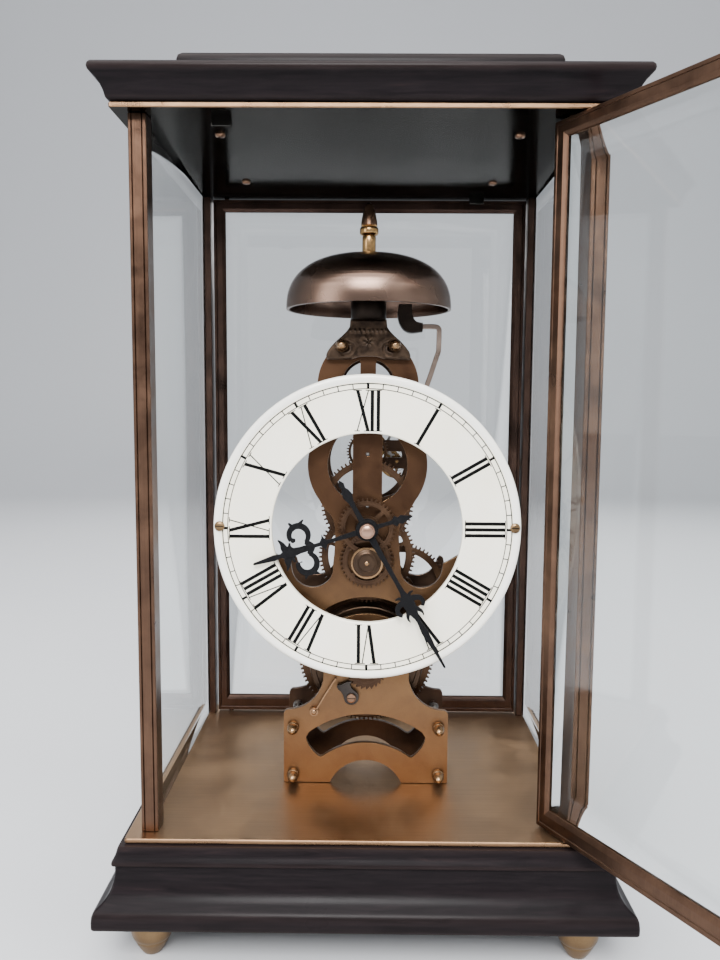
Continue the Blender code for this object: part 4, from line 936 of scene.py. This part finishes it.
# ---------------------------------------------------------------- hands
def curl(centre, radius, start, end, first, last, shrink=0.35, steps=26):
    """A tapering scroll: (path, half widths) in the hand's own (across, along) plane."""
    path, widths = [], []
    for i in range(steps + 1):
        t = i / steps
        angle = radians(start + (end - start) * t)
        away = radius * (1 - shrink * t)
        path.append(polar(centre, away, angle))
        widths.append(first + (last - first) * t)
    return path, widths


def hand_shapes(spine, tail, scrolls):
    """All the outlines of one hand before it is turned to its angle."""
    outlines = [[(w, d) for d, w in spine] + [(-w, d) for d, w in reversed(spine)],
                [(w, d) for d, w in tail] + [(-w, d) for d, w in reversed(tail)]]
    for path, widths in scrolls:
        outlines.append(ribbon(path, widths))
        outlines.append(ribbon([(-x, z) for x, z in path], widths))
    return outlines


def build_hand(name, node, outlines, angle, low, high, hub, bore):
    """Extrude the outlines side by side, each a hair apart in depth, and add the hub."""
    parts = []
    for i, outline in enumerate(outlines):
        turned_outline = [dial_point(along, angle, across) for across, along in outline]
        parts.append(prism(turned_outline, low + 0.006 * i, high - 0.006 * i, soft=0.16))
    parts.append(prism(circle(*HANDS, hub, 48), low - 0.12, high + 0.06, [circle(*HANDS, bore, 40)],
                       soft=0.2))
    piece(name, merged(*parts), "hand", node, pivot=HANDS, angle=50)


def flow(points, steps, first, drop):
    """A smooth scroll whose half width falls by the same drop at every step."""
    path = smooth(points, steps)
    return path, [first - drop * i for i in range(len(path))]


def hands():
    spine = [(3, 1.4), (9, 1.1), (17, 0.8), (19.2, 1), (20.2, 2.3), (20.7, 4), (21.3, 2.3),
             (22.6, 0.9), (25.5, 0.8), (27.5, 1.5), (32, 1.5), (37, 2.2), (39.6, 2), (41.4, 0.9),
             (43, 1.1), (44.6, 1.4), (48, 1.1), (52, 0.75), (54.4, 0.55), (54.9, 0.2)]
    tail = [(-3, 1.2), (-9, 0.8), (-12, 0.9), (-13.6, 2.6), (-15, 1.4), (-16.6, 2.1), (-18.4, 1.3),
            (-21.7, 0.2)]
    ring, _ = curl((6.8, 31), 4.75, 212, 470, 1, 1, 0.14, 36)
    scrolls = [(ring, [1 + 0.42 * sin(pi * i / 36) for i in range(37)]),
               (arc(5.3, 34, 0.6, 0, 300, 8), 0.62),
               ([(0.2, 25.6), (1.3, 26.9), (2.6, 28.3), (3, 29)], [0.8, 1.15, 1.2, 1]),
               flow([(10.6, 31.4), (11.4, 32.4), (13.5, 33.6)], 6, 1.7, 0.12),
               flow([(10.6, 30.2), (11.6, 28.8), (13.1, 26.7)], 6, 1.7, 0.12),
               flow([(0.4, 37.4), (2.8, 38.9), (5.2, 39.4), (7.4, 40.6)], 6, 2.4, 0.12),
               flow([(0.6, 35.2), (2.6, 36.4), (4.6, 35.8)], 5, 1.3, 0.09)]
    build_hand("hour_hand_scrolled", "hour_hand", hand_shapes(spine, tail, scrolls), HOUR_ANGLE,
               -36.7, -35.8, 5.2, 3.5)
    spine = [(3, 1.6), (12, 1.25), (28, 0.95), (33, 1.2), (36.2, 2.2), (40, 2.9), (44, 2),
             (46.6, 1.1), (48.6, 0.9), (51, 1.2), (54, 1.6), (58, 1.4), (64, 0.9), (70, 0.6),
             (73.2, 0.5), (73.6, 0.15)]
    tail = [(-3, 1.4), (-12, 1), (-15, 1.3), (-18, 2.3), (-20.4, 1.8), (-22, 0.9), (-24, 1.3),
            (-26, 0.25)]
    scrolls = [flow([(1, 37.4), (3.6, 37.6), (5.8, 38.8), (6.3, 41.2), (5.2, 42.8)], 5, 1.6, 0.045),
               flow([(1.2, 41.6), (2.8, 43.4), (3.7, 45.2), (3.5, 47)], 5, 1.3, 0.075),
               flow([(1, 36.6), (2.8, 34.8), (4.6, 34.6)], 5, 0.95, 0.07)]
    build_hand("minute_hand_scrolled", "minute_hand", hand_shapes(spine, tail, scrolls),
               MINUTE_ANGLE, -38.6, -37.7, 4.7, 2.4)
    line = [(1.35, -39), (2.9, -39), (3.2, -39.2), (3.2, -39.6), (3.5, -39.9), (3.5, -41.3),
            (3.3, -41.7), (2.9, -41.8), (2.6, -42.4), (1.6, -42.85), (0, -43), (0, -40.4),
            (1.35, -40.4)]
    piece("hand_nut_turned", turned(line, HANDS, "Y", 48, closed=True), "nut", "hand_nut",
          pivot=HANDS)


# ---------------------------------------------------------------- gears
def tooth_shape(flank, root):
    """A tooth as (rise above the pitch circle, share of the pitch), from gap to gap."""
    return [*flank, (0.85, 0), *[(rise, -share) for rise, share in reversed(flank)], (root, 0.5)]


TOOTH = tooth_shape([(-1.25, -0.25), (-1.1, -0.2), (-0.3, -0.185), (0.15, -0.165), (0.5, -0.115),
                     (0.76, -0.05)], -1.25)
LEAF = tooth_shape([(-1.3, -0.3), (-1.1, -0.16), (0, -0.15), (0.4, -0.12), (0.72, -0.06)], -1.3)


def toward(one, two):
    return atan2(two[1] - one[1], two[0] - one[0])


def gear(centre, teeth, module, phase, shape=TOOTH):
    """A toothed outline with one rounded tooth centred on the phase angle."""
    points = []
    for i in range(teeth):
        for rise, share in shape:
            radius = (teeth / 2 + rise) * module
            angle = phase + (i + share) * TAU / teeth
            points.append(polar(centre, radius, angle))
    return points


def gap_toward(own, other, teeth):
    return toward(own, other) + pi / teeth


def rounded(loop, cut=0.9):
    """Soften the sharp corners of a closed outline with short curves."""
    out = []
    for i, (x, z) in enumerate(loop):
        here = Vector((x, z))
        one = Vector(loop[i - 1]) - here
        two = Vector(loop[(i + 1) % len(loop)]) - here
        if one.angle(two) > radians(150):
            out.append((x, z))
            continue
        room = min(cut, one.length * 0.45, two.length * 0.45)
        start, end = here + one.normalized() * room, here + two.normalized() * room
        for t in (0, 0.25, 0.5, 0.75, 1):
            spot = (1 - t) ** 2 * start + 2 * t * (1 - t) * here + t * t * end
            out.append((spot.x, spot.y))
    return out


def crossings(centre, count, inner, outer, spoke, turn=0, steps=10):
    """The windows between tapered spokes."""
    loops = []
    for i in range(count):
        start, end = turn + i * 360 / count, turn + (i + 1) * 360 / count
        trim_out = degrees(spoke * 0.8 / 2 / outer)
        trim_in = degrees(spoke / 2 / inner)
        loop = arc(*centre, outer, start + trim_out, end - trim_out, steps)
        loop += arc(*centre, inner, end - trim_in, start + trim_in, 4)
        loops.append(rounded(loop))
    return loops


def arbor(radius, ends, pivot_r=0.7, front=-24.2, rear=6.9):
    low, high = ends
    return [(0, front), (pivot_r - 0.15, front), (pivot_r, front + 0.15), (pivot_r, low),
            (radius - 0.2, low), (radius, low + 0.2), (radius, high - 0.2), (radius - 0.2, high),
            (pivot_r, high), (pivot_r, rear - 0.15), (pivot_r - 0.15, rear), (0, rear)]


def train_wheel(name, centre, wheel, pinion, staff, turn=0, module=MODULE):
    """Wheel = (teeth, phase, low, high, spokes); pinion = (leaves, phase, low, high, module)."""
    teeth, phase, low, high, spokes = wheel
    radius = teeth * module / 2
    windows = crossings(centre, spokes, radius * 0.28, radius * 0.82, 2, turn)
    disc = prism(gear(centre, teeth, module, phase), low, high, windows, soft=0.1, segments=1)
    hub = turned([(0, low - 0.5), (radius * 0.2, low - 0.5), (radius * 0.2 + 0.2, low - 0.3),
                  (radius * 0.2 + 0.2, low + 0.2), (0, low + 0.2)], centre, "Y", 40)
    piece(f"{name}_toothed", merged(disc, hub), "wheel", name, pivot=centre, angle=30)
    leaves, phase, low, high, pinion_module = pinion
    cut = prism(gear(centre, leaves, pinion_module, phase, LEAF), low, high, soft=0.08, segments=1)
    piece(f"{name}_arbor", merged(cut, turned(staff, centre, "Y", 28)), "steel", body=BODY_OF[name],
          slot="steel", pivot=centre, angle=30)


def barrel():
    teeth = gear(GREAT, 96, MODULE, toward(GREAT, INTER))
    disc = prism(teeth, -3.2, -1.2, [circle(*GREAT, 3.4, 40)], soft=0.12, segments=1)
    piece("great_wheel_toothed", disc, "wheel", "great_wheel", pivot=GREAT, angle=30)
    r = 27.8
    section = [(3.4, -15), (6.2, -15), (6.4, -14.8), (6.6, -15), (r - 3, -15), (r - 2.8, -14.7),
               (r - 2.6, -15), (r - 0.6, -15), (r - 0.15, -14.8), (r, -14.4), (r, -12.9),
               (r - 0.25, -12.7), (r, -12.5), (r, -3.5), (r - 1.4, -3.5), (r - 1.4, -13.6),
               (3.4, -13.6)]
    piece("barrel_drum_turned", turned(section, GREAT, "Y", 96, closed=True), "barrel",
          "barrel_drum", pivot=GREAT, angle=30)
    coil = spiral(GREAT, 6, r - 2.2, 5, 0.4, steps=72)
    piece("mainspring_coil", prism(coil, -13.2, -3.9), "blued", "mainspring", pivot=GREAT)


def ratchet_outline():
    points = []
    for i in range(24):
        for radius, share in ((8.2, -0.12), (9.62, -0.03), (9.7, 0.02), (9.25, 0.3), (8.7, 0.6)):
            angle = TAU * (i + share) / 24
            points.append(polar(GREAT, radius, angle))
    return points


def winding():
    line = [(0, -29.6), (1.9, -29.6), (2.3, -29.4), (2.6, -29), (2.9, -28.6), (2.9, -13.2),
            (5, -13.2), (5, -3.9), (2.9, -3.9), (2.9, 8.4), (2.6, 8.6), (0, 8.6)]
    square = bevel(box(-2.1, 2.1, 7.6, 20, GREAT[1] - 2.1, GREAT[1] + 2.1, 0.3), 0.05)
    piece("winding_arbor_turned", merged(turned(line, GREAT, "Y", 40), square), "steel",
          "winding_arbor", pivot=GREAT)
    disc = prism(ratchet_outline(), -27.4, -25.2, soft=0.15)
    boss = turned([(2.8, -27.2), (5.4, -27.2), (5.4, -27.7), (5.1, -27.95), (2.8, -28)], GREAT,
                  "Y", 48, closed=True)
    piece("ratchet_wheel", merged(disc, boss), "wheel", body="winding", slot="steel", pivot=GREAT,
          angle=30)
    tip = radians(221.1)
    nose = polar(GREAT, 8.65, tip)
    outline = [nose, (-7.6, 84.1), (-7, 82.6), (-6.2, 81.5), *arc(*CLICK, 3.6, 60, -170, 22),
               (-11, 78.8), (-12, 80.4), (-13.4, 81.6), (-14, 82.8), (-13.6, 84), (-12, 83.9),
               (-9.2, 85.3)]
    click = prism(outline, -27.3, -25.2, [circle(*CLICK, 1.5, 24)], soft=0.25)
    piece("click_pawl", click, "blued", "click", pivot=CLICK)
    line = [(0, -28.5), (1.5, -28.5), (2.1, -28.3), (2.3, -27.9), (2.3, -27.6), (1.2, -27.6),
            (1.2, -22.6), (0, -22.6)]
    piece("click_screw_turned", turned(line, CLICK, "Y", 28), "copper", "click_screw")
    slot = box(CLICK[0] - 1.9, CLICK[0] + 1.9, -28.54, -28.2, CLICK[1] - 0.2, CLICK[1] + 0.2, 0)
    piece("click_screw_slot", slot, "ink", body="case", slot="steel")
    path = smooth([(-14.4, 86.9), (-17.6, 81.9), (-20.9, 76.3), (-24.4, 70.4)], 6)
    foot = prism(circle(-24.9, 70.2, 2, 28), -27, -24.9, soft=0.3)
    head = screw_head((-24.9, 70.2), -27, 1.3, 0.7)
    strip = prism(ribbon(path, 0.33), -27, -25.2, soft=0.08)
    piece("click_spring_strip", merged(strip, foot, head), "edge_copper", "click_spring")


def train():
    inside = (-21.5, 4.2)
    train_wheel("intermediate_wheel", INTER, (64, toward(INTER, CENTRE), 0.8, 2.2, 5),
                (12, gap_toward(INTER, GREAT, 12), -3.8, -0.6, MODULE), arbor(1.5, inside))
    front = -32.2
    staff = [(0, -20), (1.7, -20), (1.7, inside[1]), (0.7, inside[1]), (0.7, 6.9), (0, 6.9)]
    train_wheel("centre_wheel", CENTRE, (66, toward(CENTRE, THIRD), -11.2, -9.6, 5),
                (10, gap_toward(CENTRE, INTER, 10), 0.5, 2.6, MODULE), staff, 90)
    windows = crossings(CENTRE, 4, 4.6, 9.2, 2.2, 45)
    motion = prism(gear(CENTRE, 36, MOTION_MODULE, toward(CENTRE, HANDS)), -27, -25.5, windows,
                   soft=0.1, segments=1)
    leaves = prism(gear(CENTRE, 10, HOUR_MODULE, gap_toward(CENTRE, HANDS, 10), LEAF), -29.8, -28.2,
                   soft=0.08, segments=1)
    piece("motion_wheel", merged(motion, leaves), "wheel", body="centre", slot="movement_brass",
          pivot=CENTRE, angle=30)
    line = [(0, front - 0.6), (0.7, front - 0.6), (0.95, front - 0.45), (1.2, front + 0.15),
            (3.7, front + 0.15), (3.9, front - 0.1), (4.5, front - 0.1), (4.7, front + 0.15),
            (6.4, front + 0.75), (6.6, front + 0.5), (7.3, front + 0.55), (7.6, front + 0.9),
            (7.6, front + 1.7), (7.3, front + 1.95), (2, front + 2), (2, -19.8), (0, -19.8)]
    boss = piece("centre_boss", turned(line, CENTRE, "Y", 64), "boss", body="centre",
                 slot="movement_brass", pivot=CENTRE, angle=30)
    two_tone(boss, "barrel", lambda face: 0.9 < reach(face) < 6)
    staff = arbor(1.2, inside)
    train_wheel("third_wheel", THIRD, (62, toward(THIRD, FOURTH), -17.2, -15.8, 5),
                (8, gap_toward(THIRD, CENTRE, 8), -11.6, -9.2, MODULE), staff, 90)
    train_wheel("fourth_wheel", FOURTH, (40, toward(FOURTH, ESCAPE), -6.2, -5, 4),
                (8, gap_toward(FOURTH, THIRD, 8), -17.6, -15.4, MODULE), staff, 38, FINE)


def motion_work():
    tube = turned([(1.35, -38.9), (1.95, -38.9), (2.1, -38.7), (2.1, -27), (3, -26.8), (3, -25),
                   (1.35, -25)], HANDS, "Y", 36, closed=True)
    leaves = gear(HANDS, 12, MOTION_MODULE, gap_toward(HANDS, CENTRE, 12), LEAF)
    leaves = prism(leaves, -27.2, -25.3, [circle(*HANDS, 2.2, 28)], soft=0.08, segments=1)
    piece("cannon_pinion_cut", merged(tube, leaves), "steel", "cannon_pinion", pivot=HANDS,
          angle=30)
    windows = crossings(HANDS, 4, 5.6, 10.2, 2.2, 45)
    disc = prism(gear(HANDS, 40, HOUR_MODULE, toward(HANDS, CENTRE)), -29.7, -28.3,
                 [circle(*HANDS, 2.7, 28), *windows], soft=0.1, segments=1)
    pipe = turned([(2.4, -37.2), (3, -37.2), (3.2, -37), (3.2, -30.2), (4, -30), (4, -28),
                   (2.4, -28)], HANDS, "Y", 36, closed=True)
    piece("hour_wheel_toothed", merged(disc, pipe), "wheel", "hour_wheel", pivot=HANDS, angle=30)


# ---------------------------------------------------------------- escapement
def line_frame(origin, points):
    """Points given as (along, across) the line from the escape wheel to the balance."""
    c, s = cos(LINE), sin(LINE)
    return [(origin[0] + a * c - b * s, origin[1] + a * s + b * c) for a, b in points]


def escapement():
    points = []
    for i in range(15):
        for radius, share in ((8.4, 0), (9.6, 0.14), (10.55, 0.3), (10.8, 0.36), (11, 0.46),
                              (10.6, 0.45), (9.4, 0.38), (8.4, 0.34), (8.2, 0.5)):
            angle = TAU * (i + share) / 15
            points.append(polar(ESCAPE, radius, angle))
    disc = prism(points, 9, 10.2, crossings(ESCAPE, 4, 2.4, 7, 1.2, 20), soft=0.1, segments=1)
    piece("escape_wheel_toothed", disc, "brass", "escape_wheel", pivot=ESCAPE, angle=30)
    leaves = prism(gear(ESCAPE, 8, FINE, gap_toward(ESCAPE, FOURTH, 8), LEAF), -6.8, -4.4)
    staff = turned(arbor(1, (-21.5, 12), rear=16.8), ESCAPE, "Y", 28)
    piece("escape_arbor", merged(leaves, staff), "steel", body="escape", slot="steel", pivot=ESCAPE)
    side = smooth([(1.6, 1.5), (0.4, 2.6), (-1, 4.6), (-3.4, 9.2), (-5.2, 10.8)], 4)
    side += [(-6.1, 9.9), *smooth([(-4.4, 8.4), (-2, 3.6), (-1.9, 0)], 4)]
    outline = side + [(a, -b) for a, b in reversed(side[:-1])]
    outline += [(5.4, -0.6), (6.2, -1.3), (6.9, -1.3), (6.9, -0.7), (6.2, 0), (6.9, 0.7),
                (6.9, 1.3), (6.2, 1.3), (5.4, 0.6)]
    lever = prism(line_frame(PALLET, outline), 9, 10.2, soft=0.12)
    staff = turned([(0, 5.1), (0.45, 5.1), (0.45, 7.7), (0.9, 7.7), (0.9, 11), (0.45, 11),
                    (0.45, 16.8), (0, 16.8)], PALLET, "Y", 20)
    piece("pallet_lever_cut", merged(lever, staff), "steel", "pallet_lever",
          pivot=PALLET)
    windows = crossings(BALANCE, 3, 1.9, 7.5, 1.3, 30, 24)
    rim = prism(circle(*BALANCE, 9, 96), 11.6, 12.9, windows, soft=0.15)
    staff = turned([(0, 5.1), (0.5, 5.1), (0.5, 7.7), (0.9, 7.7), (0.9, 8.8), (2, 8.8), (2, 10.4),
                    (0.9, 10.4), (0.9, 15.2), (0.5, 15.2), (0.5, 16.8), (0, 16.8)], BALANCE, "Y",
                   24)
    piece("balance_wheel_rim", merged(rim, staff), "brass", "balance_wheel", pivot=BALANCE)
    coil = spiral(BALANCE, 1.6, 5.6, 4, 0.08, steps=48)
    piece("hairspring_coil", prism(coil, 13.5, 14.3), "blued", "hairspring", pivot=BALANCE)
    half = smooth([(-17.6, 2.4), (-16.6, 3.4), (-13.4, 4), (-4, 4), (3, 3), (12, 2.4), (20, 3),
                   (25.6, 3.2), (27, 2)], 4)
    outline = line_frame(ESCAPE, half + [(a, -b) for a, b in reversed(half)])
    bores = [circle(*ESCAPE, 0.9, 20), circle(*PALLET, 0.7, 20), circle(*BALANCE, 0.7, 20)]
    cock = prism(outline, 15.6, 17.4, bores, soft=0.3)
    spot = line_frame(ESCAPE, [(-15.4, 0)])[0]
    post = rod(spot, 2.2, 7.6, 16.2)
    head = screw_head(spot, 17.4, 1.7, 0.8, facing=1)
    piece("balance_cock_bridge", merged(cock, post, head), "brass", "balance_cock")


# ---------------------------------------------------------------- camera, floor and light
CAMERA_AT = (-0.54, -408.4, 218.8)
LENS, PITCH, YAW, ROLL = 30.82, 5.481, -0.442, 0.349


def camera():
    cam = bpy.data.objects.new("camera", bpy.data.cameras.new("camera"))
    cam.data.lens = LENS
    cam.data.sensor_width = 36
    cam.data.clip_start = 0.01
    pitch, yaw, roll = [radians(a) for a in (PITCH, YAW, ROLL)]
    forward = Vector((sin(yaw) * cos(pitch), cos(yaw) * cos(pitch),
                      -sin(pitch)))
    level = Vector((cos(yaw), -sin(yaw), 0))
    upright = level.cross(forward)
    right = level * cos(roll) + upright * sin(roll)
    up = upright * cos(roll) - level * sin(roll)
    turn = Matrix((right, up, -forward)).transposed().to_4x4()
    cam.matrix_world = Matrix.Translation(Vector(CAMERA_AT) * MM) @ turn
    bpy.context.scene.collection.objects.link(cam)
    bpy.context.scene.camera = cam


def backdrop():
    """A pale floor that sweeps up into a wall behind the clock."""
    low, back, bend = -0.0215, 1.6, 0.9
    line = [(-6, low)]
    for i in range(25):
        angle = radians(90 * i / 24)
        line.append((back + bend * sin(angle), low + bend * (1 - cos(angle))))
    line.append((back + bend, 5))
    bm = bmesh.new()
    left = [bm.verts.new((-6, y, z)) for y, z in line]
    right = [bm.verts.new((6, y, z)) for y, z in line]
    for i in range(len(line) - 1):
        bm.faces.new((left[i], right[i], right[i + 1], left[i + 1]))
    mesh = bpy.data.meshes.new("backdrop")
    bm.to_mesh(mesh)
    bm.free()
    mesh.shade_smooth()
    n = Nodes("backdrop_pale")
    broad = n.noise(n.coordinates(), 1.2, 3)
    n.link(n.ramp(broad, [(0.2, (0.5, 0.51, 0.53)), (0.8, (0.53, 0.54, 0.56))]),
           n.shader.inputs["Base Color"])
    n.shader.inputs["Roughness"].default_value = 0.75
    mesh.materials.append(n.mat)
    sweep = bpy.data.objects.new("backdrop", mesh)
    bpy.context.scene.collection.objects.link(sweep)


def lamp(name, place, aim, size, power, colour=(1, 1, 1)):
    light = bpy.data.lights.new(name, "AREA")
    light.shape = "RECTANGLE"
    light.size, light.size_y = size
    light.energy = power
    light.color = colour
    obj = bpy.data.objects.new(name, light)
    obj.location = place
    obj.rotation_euler = (Vector(aim) - Vector(place)).to_track_quat("-Z", "Y").to_euler()
    obj.visible_transmission = False
    bpy.context.scene.collection.objects.link(obj)


def lights():
    lamp("overhead", (-0.1, -0.35, 1.35), (0, 0, 0.25), (1.5, 1.1), 26)
    lamp("left", (-1.15, -0.75, 0.62), (0, 0, 0.2), (0.7, 1.1), 15)
    lamp("right", (1.15, -0.7, 0.55), (0, 0, 0.2), (0.6, 1.1), 12)
    lamp("front", (-0.1, -1.35, 1.25), (0, 0, 0.19), (1, 0.6), 56)
    lamp("back", (0.2, 1.2, 0.9), (0, 0.1, 0.2), (1.4, 1), 12)
    world = bpy.data.worlds.new("room")
    world.use_nodes = True
    background = world.node_tree.nodes["Background"]
    background.inputs["Color"].default_value = (0.8, 0.82, 0.85, 1)
    background.inputs["Strength"].default_value = 0.95
    bpy.context.scene.world = world


def main():
    wooden_parts()
    feet()
    plates()
    posts()
    side_glasses()
    door("front_door", (HINGE[0], -HINGE[1]), DOOR_OPEN, "post")
    door("rear_door", (-HINGE[0], HINGE[1]), pi, "dark_frame")
    movement_plates()
    pillars()
    bell_parts()
    dial()
    hands()
    barrel()
    winding()
    train()
    motion_work()
    escapement()
    backdrop()
    camera()
    lights()


main()
